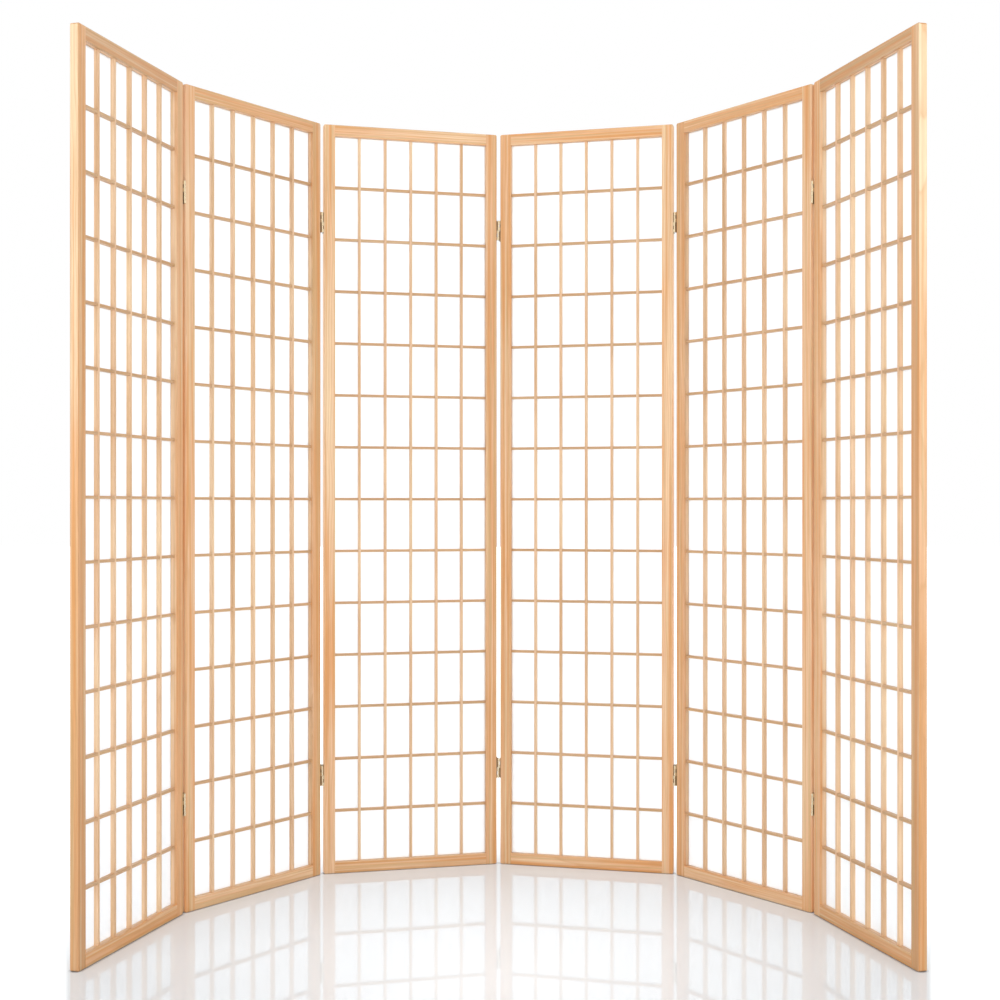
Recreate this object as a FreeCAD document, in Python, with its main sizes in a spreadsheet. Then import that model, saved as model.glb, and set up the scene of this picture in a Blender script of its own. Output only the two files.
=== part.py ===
import FreeCAD, Part
import math
import os

# A six-panel folding paper screen. Each panel is a pine frame round a
# half-lapped lattice with paper glued to its back. Neighbouring panels are
# joined by two-way hinges, so that the screen folds to either side.
# Left and right are as seen from the front. X runs to the right, Y to the
# back and Z up. The origin is on the floor, under the middle of the screen
# as it stands in its arc.

PANEL_COUNT = 6
MIDDLE = PANEL_COUNT // 2

# A hinge has six levels of knuckles, counted upwards. On the inner leaf the front
# knuckles are in the lower half and the back ones above; each link has one between.
KNUCKLE_LEVELS = 6
LOWER_HALF = (0, 1, 2)
UPPER_HALF = (3, 4, 5)
FRONT_LEAF_LEVELS = (0, 2)
BACK_LEAF_LEVELS = (3, 5)
LOW_LINK_LEVEL = 1
HIGH_LINK_LEVEL = 4

HALF_TURN = 180
QUARTER_TURN = 90
SAME_PLACE = 1e-6
ACROSS = FreeCAD.Vector(1, 0, 0)
UP = FreeCAD.Vector(0, 0, 1)
TO_THE_LEFT = FreeCAD.Rotation(FreeCAD.Vector(0, -1, 0), QUARTER_TURN)
BACK_TO_FRONT = FreeCAD.Rotation(UP, HALF_TURN)

SIZES = (
    ("panel_height", "1790", "height of each panel"),
    ("panel_width", "426", "width of each panel over its stiles"),
    ("panel_thickness", "18", "thickness of the frame"),
    ("stile_face", "27", "width of a stile seen from the front"),
    ("rail_face", "27", "height of a rail seen from the front"),
    ("corner_radius", "4", "round at the four outer corners of a panel"),
    ("edge_radius", "1.5", "round along the outer edges of the frame"),
    ("lip_depth", "6.3", "frame lip in front of the lattice"),
    ("rebate_width", "7", "width of the step in the frame that seats the lattice"),
    ("lattice_clearance", "0.25", "play round the lattice in its rebate"),
    ("border_setback", "1", "lattice border behind the lip's inner edge"),
    ("bar_width", "6", "lattice bar seen from the front"),
    ("bar_depth", "9.5", "lattice bar from front to back"),
    ("column_count", "6", "panes across a panel"),
    ("row_count", "14", "panes up a panel"),
    ("paper_thickness", "0.2", "paper behind the lattice"),
    ("tenon_length", "15", "rail tenon in the stile"),
    ("tenon_thickness", "6", "rail tenon from front to back"),
    ("tenon_height", "12", "height of the rail tenon"),
    ("tenon_edge_distance", "5", "rail's outer edge to its tenon"),
    ("tenon_front_distance", "6", "front face to the tenon"),
    ("mortise_clearance", "0.1", "play round a tenon and at its end"),
    ("hinge_height", "48", "height of a hinge"),
    ("hinge_end_distance", "235", "hinge's middle from the panel's end"),
    ("barrel_radius", "2.5", "outer radius of a hinge barrel"),
    ("pin_radius", "1.25", "radius of a hinge pin"),
    ("pin_clearance", "0.05", "radial play of a pin in a moving knuckle"),
    ("pin_standoff", "1.5", "pin's axis beyond the face of the panel"),
    ("knuckle_gap", "0.2", "play between two knuckles"),
    ("leaf_thickness", "1.2", "hinge leaf on the stile's edge"),
    ("leaf_clearance", "0.3", "barrel to the opposite leaf"),
    ("leaf_inset", "1", "leaf's edge from the face of the panel"),
    ("link_thickness", "1.2", "plate that joins the two barrels of a link"),
    ("link_clearance", "0.5", "link's plate to the leaf's barrels"),
    ("screw_head_radius", "2.8", "countersunk head at the leaf's face"),
    ("screw_shank_radius", "1.6", "screw in the wood"),
    ("screw_shank_length", "11", "straight part of the screw in the wood"),
    ("screw_tip_length", "3", "tapered end of the screw"),
    ("screw_tip_radius", "0.4", "end of the screw"),
    ("screw_slot_width", "0.7", "slot across the screw's head"),
    ("screw_slot_depth", "0.5", "depth of that slot"),
    ("screw_clearance", "0.05", "play round a screw"),
)

# How far each hinge is folded towards the front as the screen stands, in degrees.
FOLDS = (
    ("middle_fold", "29", "between panels 3 and 4"),
    ("inner_fold", "39.3", "between panels 2 and 3, and 4 and 5"),
    ("outer_fold", "20.9", "between panels 1 and 2, and 5 and 6"),
)

# Formulas in the sheet's sizes that several pieces share.
HEIGHT = "Sizes.panel_height"
WIDTH = "Sizes.panel_width"
THICKNESS = "Sizes.panel_thickness"
RAIL_LENGTH = "(Sizes.panel_width - 2 * Sizes.stile_face)"
REBATE_START = "(Sizes.rail_face - Sizes.rebate_width)"
REBATE_SIDE = "(Sizes.stile_face - Sizes.rebate_width)"
SEAT_LEFT = "(Sizes.stile_face - Sizes.rebate_width + Sizes.lattice_clearance)"
SEAT_LOW = "(Sizes.rail_face - Sizes.rebate_width + Sizes.lattice_clearance)"
FIELD_LEFT = "(Sizes.stile_face - Sizes.border_setback)"
FIELD_LOW = "(Sizes.rail_face - Sizes.border_setback)"
FIELD_WIDTH = f"(Sizes.panel_width - 2 * {FIELD_LEFT})"
FIELD_HEIGHT = f"(Sizes.panel_height - 2 * {FIELD_LOW})"
BORDER_WIDTH = "(Sizes.rebate_width - Sizes.lattice_clearance - Sizes.border_setback)"
REBATE_DEPTH = "(Sizes.panel_thickness - Sizes.lip_depth)"
MORTISE_DEPTH = "(Sizes.tenon_length + Sizes.mortise_clearance)"
MORTISE_THICKNESS = "(Sizes.tenon_thickness + 2 * Sizes.mortise_clearance)"
MORTISE_HEIGHT = "(Sizes.tenon_height + 2 * Sizes.mortise_clearance)"
MORTISE_X = f"(Sizes.stile_face - {MORTISE_DEPTH})"
MORTISE_Y = "(Sizes.tenon_front_distance - Sizes.mortise_clearance)"
MORTISE_LOW = "(Sizes.tenon_edge_distance - Sizes.mortise_clearance)"
COLUMN_PITCH = f"(({RAIL_LENGTH} + Sizes.bar_width) / Sizes.column_count)"
ROW_PITCH = "((Sizes.panel_height - 2 * Sizes.rail_face + Sizes.bar_width) / Sizes.row_count)"
COLUMN_START = "(Sizes.stile_face - Sizes.bar_width / 2)"
ROW_START = "(Sizes.rail_face - Sizes.bar_width / 2)"
PAPER_FRONT = "(Sizes.lip_depth + Sizes.bar_depth)"
BEAD_FRONT = "(Sizes.lip_depth + Sizes.bar_depth + Sizes.paper_thickness)"
BEAD_DEPTH = f"(Sizes.panel_thickness - {BEAD_FRONT})"
BEAD_WIDTH = "(Sizes.rebate_width - Sizes.lattice_clearance)"
GAP = "(2 * (Sizes.barrel_radius + Sizes.leaf_clearance + Sizes.leaf_thickness))"
KNUCKLE_PITCH = f"(Sizes.hinge_height / {KNUCKLE_LEVELS})"
KNUCKLE_LENGTH = f"({KNUCKLE_PITCH} - Sizes.knuckle_gap)"
FRONT_AXIS = "(-Sizes.pin_standoff)"
BACK_AXIS = "(Sizes.panel_thickness + Sizes.pin_standoff)"
BORE_RADIUS = "(Sizes.pin_radius + Sizes.pin_clearance)"
HOLE_RADIUS = "(Sizes.screw_shank_radius + Sizes.screw_clearance)"
SCREW_LENGTH = "(Sizes.screw_shank_length + Sizes.screw_tip_length)"
SCREW_RISE = "(Sizes.hinge_height / 4)"
HINGE_FOOT = "(-Sizes.hinge_height / 2)"
LEAF_BACK = f"(-{GAP} / 2)"
RIGHT_EDGE = f"({WIDTH} + {GAP} / 2)"
LEFT_EDGE = f"(-{GAP} / 2)"
LOW_HINGE = "Sizes.hinge_end_distance"
HIGH_HINGE = "(Sizes.panel_height - Sizes.hinge_end_distance)"

doc = FreeCAD.newDocument("FoldingScreen")


def fill_sheet():
    """Write the driving sizes into the document's sheet, one to a row."""
    sheet = doc.addObject("Spreadsheet::Sheet", "Sizes")
    for row, (alias, value, note) in enumerate(SIZES + FOLDS, start=1):
        sheet.set(f"A{row}", note)
        sheet.set(f"B{row}", value)
        sheet.setAlias(f"B{row}", alias)
    doc.recompute()
    return sheet


def number(formula):
    """The value of a formula in the sheet's sizes."""
    return float(sheet.evalExpression(formula))


def bind(item, **formulas):
    """Tie properties of an object to formulas; x, y and z are its place."""
    for key, formula in formulas.items():
        path = f"Placement.Base.{key}" if key in ("x", "y", "z") else key
        item.setExpression(path, formula)
    return item


def block(name, x, y, z, length, width, height, owner=doc, kind="Part::Box"):
    """A block from one corner, with its sides along X, Y and Z."""
    make = owner.addObject if owner is doc else owner.newObject
    item = make(kind, name)
    return bind(item, Length=length, Width=width, Height=height, x=x, y=y, z=z)


def added(body, name, *box):
    return block(name, *box, owner=body, kind="PartDesign::AdditiveBox")


def cut(body, name, *box):
    return block(name, *box, owner=body, kind="PartDesign::SubtractiveBox")


def rod(name, radius, x, y, z, height):
    """A round rod along Z."""
    item = doc.addObject("Part::Cylinder", name)
    return bind(item, Radius=radius, Height=height, x=x, y=y, z=z)


def point_left(item):
    """Turn a piece that was made along Z so that it points to the left."""
    item.Placement = FreeCAD.Placement(FreeCAD.Vector(), TO_THE_LEFT)
    return item


def fused(name, shapes):
    item = doc.addObject("Part::MultiFuse", name)
    item.Shapes = shapes
    return item


def grouped(name, links):
    """Several separate solids that are placed together."""
    item = doc.addObject("Part::Compound", name)
    item.Links = links
    return item


def less(name, base, tool):
    item = doc.addObject("Part::Cut", name)
    item.Base = base
    item.Tool = tool
    return item


def copied(name, source, x="0", y="0", z="0", turn=FreeCAD.Rotation()):
    """A further copy of a piece, turned and then moved by three formulas."""
    item = grouped(name, [source])
    item.Placement = FreeCAD.Placement(FreeCAD.Vector(), turn)
    return bind(item, x=x, y=y, z=z)


def mirrored(name, source, normal, x="0", z="0"):
    """The piece's mirror image about the plane through (x, 0, z)."""
    item = doc.addObject("Part::Mirroring", name)
    item.Source = source
    item.Normal = normal
    item.setExpression("Base.x", x)
    item.setExpression("Base.z", z)
    return item


def near(a, b):
    return math.isclose(a, b, abs_tol=SAME_PLACE)


def rounded(body, name, base, radius, test):
    """Round the edges of a feature whose two ends pass a test."""
    doc.recompute()
    edges = [f"Edge{index}" for index, edge in enumerate(base.Shape.Edges, start=1)
             if test(edge.Vertexes[0].Point, edge.Vertexes[-1].Point)]
    item = body.newObject("PartDesign::Fillet", name)
    item.Base = (base, edges)
    item.setExpression("Radius", radius)
    return item


# Frame of one panel, from its lower left front corner

def stile():
    """The left stile: full height, rebated behind, with a mortise at each end."""
    body = doc.addObject("PartDesign::Body", "stile")
    height, face, thickness = number(HEIGHT), number("Sizes.stile_face"), number(THICKNESS)
    mortise_size = (MORTISE_DEPTH, MORTISE_THICKNESS, MORTISE_HEIGHT)
    added(body, "stile_blank", "0", "0", "0", "Sizes.stile_face", THICKNESS, HEIGHT)
    cut(body, "stile_rebate", REBATE_SIDE, "Sizes.lip_depth", REBATE_START,
        "Sizes.rebate_width", REBATE_DEPTH, f"{HEIGHT} - 2 * {REBATE_START}")
    cut(body, "low_mortise", MORTISE_X, MORTISE_Y, MORTISE_LOW, *mortise_size)
    milled = cut(body, "high_mortise", MORTISE_X, MORTISE_Y,
                 f"{HEIGHT} - {MORTISE_LOW} - {MORTISE_HEIGHT}", *mortise_size)

    def at_end(point):
        return near(point.z, 0) or near(point.z, height)

    def outer_corner(first, last):
        return near(first.x, 0) and near(last.x, 0) and at_end(first) and near(first.z, last.z)

    def outline(first, last):
        on_face = near(first.y, last.y) and (near(first.y, 0) or near(first.y, thickness))
        inner = near(first.x, face) and near(last.x, face)
        return on_face and not inner and all(near(point.x, 0) or at_end(point) for point in (first, last))

    corners = rounded(body, "stile_corners", milled, "Sizes.corner_radius", outer_corner)
    rounded(body, "stile_edges", corners, "Sizes.edge_radius", outline)
    return body


def drilled_stile(plain):
    """A right stile with the pilot holes for the screws of its two hinges."""
    holes = []
    for place, z in screw_places():
        hole = point_left(doc.addObject("Part::Cylinder", f"{place}_pilot_hole"))
        holes.append(bind(hole, Radius=HOLE_RADIUS, Height=f"{SCREW_LENGTH} + Sizes.screw_clearance",
                          x=WIDTH, y=f"{THICKNESS} / 2", z=z))
    return less("drilled_right_stile", plain, fused("pilot_holes", holes))


def rail():
    """The bottom rail: rebated like the stiles, with a tenon at each end."""
    body = doc.addObject("PartDesign::Body", "rail")
    tenon = ("Sizes.tenon_front_distance", "Sizes.tenon_edge_distance",
             "Sizes.tenon_length", "Sizes.tenon_thickness", "Sizes.tenon_height")
    blank = added(body, "rail_blank", "Sizes.stile_face", "0", "0", RAIL_LENGTH, THICKNESS, "Sizes.rail_face")

    def outer_edge(first, last):
        return near(first.z, 0) and near(last.z, 0) and near(first.y, last.y)

    rounded(body, "rail_edges", blank, "Sizes.edge_radius", outer_edge)
    cut(body, "rail_rebate", "Sizes.stile_face", "Sizes.lip_depth", REBATE_START,
        RAIL_LENGTH, REBATE_DEPTH, "Sizes.rebate_width")
    added(body, "left_tenon", "Sizes.stile_face - Sizes.tenon_length", *tenon)
    added(body, "right_tenon", "Sizes.panel_width - Sizes.stile_face", *tenon)
    return body


# Lattice, paper and the beads that hold them, in the same place

def repeated_cut(body, name, box, axis_role, pitch, count):
    """Cut a box at each division but the two ends, along one of the body's axes."""
    notch = cut(body, name, *box)
    axis = next(item for item in body.Origin.OriginFeatures if item.Role == axis_role)
    pattern = body.newObject("PartDesign::LinearPattern", f"{name}_row")
    pattern.Originals = [notch]
    pattern.Direction = (axis, [""])
    bind(pattern, Length=f"{pitch} * ({count} - 2)", Occurrences=f"{count} - 1")
    body.Tip = pattern
    return pattern


def lattice_upright():
    """An upright bar on the left edge of the panel, half lapped from behind."""
    body = doc.addObject("PartDesign::Body", "upright_bar")
    added(body, "upright_blank", "-Sizes.bar_width / 2", "Sizes.lip_depth", FIELD_LOW,
          "Sizes.bar_width", "Sizes.bar_depth", FIELD_HEIGHT)
    notch = ("-Sizes.bar_width / 2", "Sizes.lip_depth + Sizes.bar_depth / 2",
             f"{ROW_START} + {ROW_PITCH} - Sizes.bar_width / 2",
             "Sizes.bar_width", "Sizes.bar_depth / 2", "Sizes.bar_width")
    repeated_cut(body, "upright_notch", notch, "Z_Axis", ROW_PITCH, "Sizes.row_count")
    return body


def lattice_crossbar():
    """A crossbar at the foot of the panel, half lapped from the front."""
    body = doc.addObject("PartDesign::Body", "cross_bar")
    added(body, "cross_blank", FIELD_LEFT, "Sizes.lip_depth", "-Sizes.bar_width / 2",
          FIELD_WIDTH, "Sizes.bar_depth", "Sizes.bar_width")
    notch = (f"{COLUMN_START} + {COLUMN_PITCH} - Sizes.bar_width / 2", "Sizes.lip_depth",
             "-Sizes.bar_width / 2", "Sizes.bar_width", "Sizes.bar_depth / 2", "Sizes.bar_width")
    repeated_cut(body, "cross_notch", notch, "X_Axis", COLUMN_PITCH, "Sizes.column_count")
    return body


def lattice():
    """Four border strips, and the upright bars and crossbars, with all the clear panes alike."""
    side = block("left_border", SEAT_LEFT, "Sizes.lip_depth", SEAT_LOW,
                 BORDER_WIDTH, "Sizes.bar_depth", f"{HEIGHT} - 2 * {SEAT_LOW}")
    bottom = block("bottom_border", FIELD_LEFT, "Sizes.lip_depth", SEAT_LOW,
                   FIELD_WIDTH, "Sizes.bar_depth", BORDER_WIDTH)
    upright, crossbar = lattice_upright(), lattice_crossbar()
    bars = [side, mirrored("right_border", side, ACROSS, x=f"{WIDTH} / 2"),
            bottom, mirrored("top_border", bottom, UP, z=f"{HEIGHT} / 2")]
    for column in range(1, round(number("Sizes.column_count"))):
        bars.append(copied(f"upright_{column}", upright, x=f"{COLUMN_START} + {column} * {COLUMN_PITCH}"))
    for row in range(1, round(number("Sizes.row_count"))):
        bars.append(copied(f"crossbar_{row}", crossbar, z=f"{ROW_START} + {row} * {ROW_PITCH}"))
    return grouped("lattice", bars)


def paper():
    """One sheet, glued to the back of the lattice."""
    return block("paper", SEAT_LEFT, PAPER_FRONT, SEAT_LOW, f"{WIDTH} - 2 * {SEAT_LEFT}",
                 "Sizes.paper_thickness", f"{HEIGHT} - 2 * {SEAT_LOW}")


def beads():
    """Thin strips behind the paper's edges, flush with the back of the frame."""
    side = block("left_bead", SEAT_LEFT, BEAD_FRONT, SEAT_LOW,
                 BEAD_WIDTH, BEAD_DEPTH, f"{HEIGHT} - 2 * {SEAT_LOW}")
    bottom = block("bottom_bead", "Sizes.stile_face", BEAD_FRONT, SEAT_LOW,
                   RAIL_LENGTH, BEAD_DEPTH, BEAD_WIDTH)
    return grouped("beads", [side, mirrored("right_bead", side, ACROSS, x=f"{WIDTH} / 2"),
                             bottom, mirrored("top_bead", bottom, UP, z=f"{HEIGHT} / 2")])


# Hinge, from the middle of the gap at the front face, halfway up the hinge.
# The inner leaf, on the panel nearer the middle of the screen, is on the left.

def level_foot(level):
    """The foot of a knuckle at one of the six levels, counted from the hinge's foot."""
    return f"{HINGE_FOOT} + {level} * {KNUCKLE_PITCH} + Sizes.knuckle_gap / 2"


def barrel(name, axis, level):
    return rod(f"{name}_barrel", "Sizes.barrel_radius", "0", axis, level_foot(level), KNUCKLE_LENGTH)


def bore(name, axis):
    """A hole for a pin, over the whole height of the hinge."""
    return rod(f"{name}_bore", BORE_RADIUS, "0", axis, HINGE_FOOT, "Sizes.hinge_height")


def leaf_knuckle(name, axis, tab_start, level):
    """A knuckle of the inner leaf: its barrel, an arm to the side and a tab back to the plate."""
    arm = block(f"{name}_arm", LEAF_BACK, f"{axis} - Sizes.leaf_thickness / 2", level_foot(level),
                f"{GAP} / 2", "Sizes.leaf_thickness", KNUCKLE_LENGTH)
    tab = block(f"{name}_tab", LEAF_BACK, tab_start, level_foot(level),
                "Sizes.leaf_thickness", "Sizes.pin_standoff + Sizes.leaf_inset", KNUCKLE_LENGTH)
    return [barrel(name, axis, level), arm, tab]


def hinge_leaf():
    """The inner leaf: front knuckles below, back knuckles above."""
    parts = [block("leaf_plate", LEAF_BACK, "Sizes.leaf_inset", HINGE_FOOT, "Sizes.leaf_thickness",
                   f"{THICKNESS} - 2 * Sizes.leaf_inset", "Sizes.hinge_height")]
    for level in FRONT_LEAF_LEVELS:
        parts += leaf_knuckle(f"front_{level}", FRONT_AXIS, FRONT_AXIS, level)
    for level in BACK_LEAF_LEVELS:
        parts += leaf_knuckle(f"back_{level}", BACK_AXIS, f"{THICKNESS} - Sizes.leaf_inset", level)
    holes = [bore("leaf_front", FRONT_AXIS), bore("leaf_back", BACK_AXIS)]
    for name, sign in (("lower", "-"), ("upper", "+")):
        sink = point_left(doc.addObject("Part::Cone", f"{name}_countersink"))
        holes.append(bind(sink, Radius1="Sizes.screw_head_radius + Sizes.screw_clearance",
                          Radius2=HOLE_RADIUS, Height="Sizes.leaf_thickness",
                          x=f"{LEAF_BACK} + Sizes.leaf_thickness", y=f"{THICKNESS} / 2",
                          z=f"{sign}{SCREW_RISE}"))
    return less("inner_leaf", fused("leaf_blank", parts), fused("leaf_holes", holes))


def hinge_link():
    """A link in the lower half: a plate with a barrel at the front and at the back."""
    reach = "(Sizes.barrel_radius + Sizes.link_clearance)"
    plate = block("link_plate", "-Sizes.link_thickness / 2", f"{FRONT_AXIS} + {reach}",
                  f"{HINGE_FOOT} + Sizes.knuckle_gap / 2", "Sizes.link_thickness",
                  f"{BACK_AXIS} - {FRONT_AXIS} - 2 * {reach}", "Sizes.hinge_height / 2 - Sizes.knuckle_gap")
    arm = block("link_arm", "-Sizes.link_thickness / 2", FRONT_AXIS, level_foot(LOW_LINK_LEVEL),
                "Sizes.link_thickness", f"{BACK_AXIS} - {FRONT_AXIS}", KNUCKLE_LENGTH)
    ends = (("link_front", FRONT_AXIS), ("link_back", BACK_AXIS))
    barrels = [barrel(name, axis, LOW_LINK_LEVEL) for name, axis in ends]
    bores = [bore(name, axis) for name, axis in ends]
    return less("link", fused("link_blank", [plate, arm] + barrels), fused("link_bores", bores))


def hinge_pin(name, axis, levels):
    """A pin through neighbouring levels of the hinge, just short of both ends."""
    return rod(name, "Sizes.pin_radius", "0", axis, f"{level_foot(levels[0])} + Sizes.knuckle_gap / 2",
               f"{len(levels)} * {KNUCKLE_PITCH} - 2 * Sizes.knuckle_gap")


def screw():
    """A countersunk screw along Z, with its head at the origin and a slot across it."""
    head = doc.addObject("Part::Cone", "screw_head")
    bind(head, Radius1="Sizes.screw_head_radius", Radius2="Sizes.screw_shank_radius",
         Height="Sizes.leaf_thickness")
    shank = rod("screw_shank", "Sizes.screw_shank_radius", "0", "0", "Sizes.leaf_thickness",
                "Sizes.screw_shank_length")
    tip = doc.addObject("Part::Cone", "screw_tip")
    bind(tip, Radius1="Sizes.screw_shank_radius", Radius2="Sizes.screw_tip_radius",
         Height="Sizes.screw_tip_length", z="Sizes.leaf_thickness + Sizes.screw_shank_length")
    slot = block("screw_slot", "-Sizes.screw_head_radius", "-Sizes.screw_slot_width / 2", "0",
                 "2 * Sizes.screw_head_radius", "Sizes.screw_slot_width", "Sizes.screw_slot_depth")
    return less("screw", fused("screw_blank", [head, shank, tip]), slot)


def screw_places():
    """A name and a height for each of the four screws on one edge of a panel."""
    return [(f"{hinge}_{side}", f"{middle} {sign} {SCREW_RISE}")
            for hinge, middle in (("low", LOW_HINGE), ("high", HIGH_HINGE))
            for side, sign in (("lower", "-"), ("upper", "+"))]


# Hinge pieces where they sit on a panel, from the panel's lower left front corner.
# In the left half of the screen the hinges are mirror images of those in the right half.

def at_both_heights(name, piece, x):
    """The pieces of the low and the high hinge on one edge of a panel."""
    return grouped(name, [copied(f"{name}_low", piece, x=x, z=LOW_HINGE),
                          copied(f"{name}_high", piece, x=x, z=HIGH_HINGE)])


def hinge_pieces():
    """The four kinds of hinge piece, with the pins that each carries."""
    leaf, link = hinge_leaf(), hinge_link()
    outer = copied("outer_leaf", leaf, y=THICKNESS, turn=BACK_TO_FRONT)
    pin_ends = [hinge_pin(f"pin_end_{level}", FRONT_AXIS, [level]) for level in BACK_LEAF_LEVELS]
    swing_pins = [hinge_pin("swing_front_pin", FRONT_AXIS, LOWER_HALF),
                  hinge_pin("swing_back_pin", BACK_AXIS, LOWER_HALF)]
    keeper_pins = [hinge_pin("keeper_front_pin", FRONT_AXIS, [HIGH_LINK_LEVEL]),
                   hinge_pin("keeper_back_pin", BACK_AXIS, UPPER_HALF)]
    return {
        "inner_leaves": leaf,
        "outer_leaves": grouped("outer_leaf_and_pin_ends", [outer] + pin_ends),
        "links": grouped("swing_link_and_pins", [link] + swing_pins),
        "keepers": grouped("keeper_link_and_pins",
                           [copied("keeper_link", link, z="Sizes.hinge_height / 2")] + keeper_pins),
    }


def hinge_sets():
    """The hinge pieces on one edge of a panel, by the half of the screen and the kind."""
    sets = {}
    for kind, piece in hinge_pieces().items():
        image = mirrored(f"left_hand_{kind}", piece, ACROSS)
        on_inner_panel = kind in ("inner_leaves", "keepers")
        edges = (RIGHT_EDGE, LEFT_EDGE) if on_inner_panel else (LEFT_EDGE, RIGHT_EDGE)
        sets["right_half", kind] = at_both_heights(f"right_half_{kind}", piece, edges[0])
        sets["left_half", kind] = at_both_heights(f"left_half_{kind}", image, edges[1])
    return sets


def screw_sets():
    """The four screws in the panel's left edge, and those in its right edge."""
    one = screw()
    right = grouped("right_screws", [
        copied(f"{place}_screw", one, x=f"{WIDTH} + Sizes.leaf_thickness", y=f"{THICKNESS} / 2",
               z=z, turn=TO_THE_LEFT) for place, z in screw_places()])
    return mirrored("left_screws", right, ACROSS, x=f"{WIDTH} / 2"), right


# How the panels stand

def panel_directions():
    """The angle of each panel to the X axis, from left to right."""
    third = number("Sizes.middle_fold") / 2
    second = third + number("Sizes.inner_fold")
    first = second + number("Sizes.outer_fold")
    return [first, second, third, -third, -second, -first]


def along(angle, right, back):
    """A step to the right and to the back in the frame of a panel at an angle."""
    turned = FreeCAD.Rotation(UP, angle)
    return turned.multVec(FreeCAD.Vector(right, back, 0))


def panel_corners():
    """The lower left front corner of each panel, with the middle front pin at X = 0."""
    angles = panel_directions()
    left, right, pin_line = number(LEFT_EDGE), number(RIGHT_EDGE), number(FRONT_AXIS)
    corners = [None] * PANEL_COUNT
    pin = FreeCAD.Vector()
    for index in reversed(range(MIDDLE)):
        corners[index] = pin - along(angles[index], right, pin_line)
        pin = corners[index] + along(angles[index], left, pin_line)
    pin = FreeCAD.Vector()
    for index in range(MIDDLE, PANEL_COUNT):
        corners[index] = pin - along(angles[index], left, pin_line)
        pin = corners[index] + along(angles[index], right, pin_line)
    return corners, angles


def panel_placements():
    """The panels in their arc, with the origin under the middle of the whole screen."""
    corners, angles = panel_corners()
    edge = number("Sizes.edge_radius")
    foremost = corners[0] + along(angles[0], edge, edge)
    inner = MIDDLE - 1
    rearmost = corners[inner] + along(angles[inner], number(RIGHT_EDGE), number(BACK_AXIS))
    front, back = foremost.y - edge, rearmost.y + number("Sizes.barrel_radius")
    shift = FreeCAD.Vector(0, -(front + back) / 2, 0)
    return [FreeCAD.Placement(corner + shift, FreeCAD.Rotation(UP, angle))
            for corner, angle in zip(corners, angles)]


# The screen's pieces, each under its own name

def frame_pieces():
    """The two rails, and each stile: plain at a free edge, drilled where hinges go."""
    left = stile()
    right = mirrored("right_stile", left, ACROSS, x=f"{WIDTH} / 2")
    drilled_right = drilled_stile(right)
    drilled_left = mirrored("drilled_left_stile", drilled_right, ACROSS, x=f"{WIDTH} / 2")
    bottom = rail()
    rails = grouped("rails", [bottom, mirrored("top_rail", bottom, UP, z=f"{HEIGHT} / 2")])
    return rails, {"left": (left, drilled_left), "right": (right, drilled_right)}


def panel_leaves(hinges, panel):
    """A panel's leaves: outer leaves towards the middle of the screen, inner ones away from it."""
    half = "left_half" if panel < MIDDLE else "right_half"
    at_middle_hinge = panel == MIDDLE - 1
    kinds = [("right_half", "inner_leaves") if at_middle_hinge else (half, "outer_leaves")]
    if 0 < panel < PANEL_COUNT - 1:
        kinds.append((half, "inner_leaves"))
    return [hinges[kind] for kind in kinds]


def build():
    """Make every named piece of the screen and return them."""
    placements = panel_placements()
    rails, stiles = frame_pieces()
    shared = {"rails": rails, "lattice": lattice(), "paper": paper(), "beads": beads()}
    hinges, screws = hinge_sets(), screw_sets()
    nodes = []

    def node(label, pieces, panel):
        item = grouped(label, pieces)
        item.Label = label
        item.Placement = placements[panel]
        nodes.append(item)

    for panel in range(PANEL_COUNT):
        name = f"panel_{panel + 1}"
        hinged = (panel > 0, panel < PANEL_COUNT - 1)
        for side, has_hinge in zip(("left", "right"), hinged):
            node(f"{name}_{side}_stile", [stiles[side][has_hinge]], panel)
        for kind, piece in shared.items():
            node(f"{name}_{kind}", [piece], panel)
        node(f"{name}_hinge_leaves", panel_leaves(hinges, panel), panel)
        node(f"{name}_hinge_screws", [one for one, has_hinge in zip(screws, hinged) if has_hinge], panel)
    for left in range(PANEL_COUNT - 1):
        in_left_half = left < MIDDLE - 1
        half = "left_half" if in_left_half else "right_half"
        inner, outer = (left + 1, left) if in_left_half else (left, left + 1)
        name = f"hinge_{left + 1}{left + 2}"
        node(f"{name}_links", [hinges[half, "links"]], outer)
        node(f"{name}_keepers", [hinges[half, "keepers"]], inner)
    return nodes


def check_document():
    """Stop when any object failed to build."""
    for item in doc.Objects:
        if {"Invalid", "Error"} & set(item.State):
            raise RuntimeError(f"{item.Name} failed: {item.State}")


def write(nodes):
    """Check each piece's shape and write it under its own name."""
    for item in nodes:
        shape = item.Shape
        if shape.isNull() or not shape.isValid() or not shape.Solids:
            raise RuntimeError(f"{item.Label} has no valid shape")
    os.makedirs("parts", exist_ok=True)
    for item in nodes:
        item.Shape.exportStep(f"parts/{item.Label}.step")
        print(item.Label, len(item.Shape.Solids), round(item.Shape.Volume))


sheet = fill_sheet()
pieces = build()
doc.recompute()
check_document()
write(pieces)
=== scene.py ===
from math import pi, radians

import bmesh
import bpy
from bpy.props import FloatProperty, FloatVectorProperty, IntProperty, PointerProperty
from mathutils import Matrix, Vector


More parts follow.
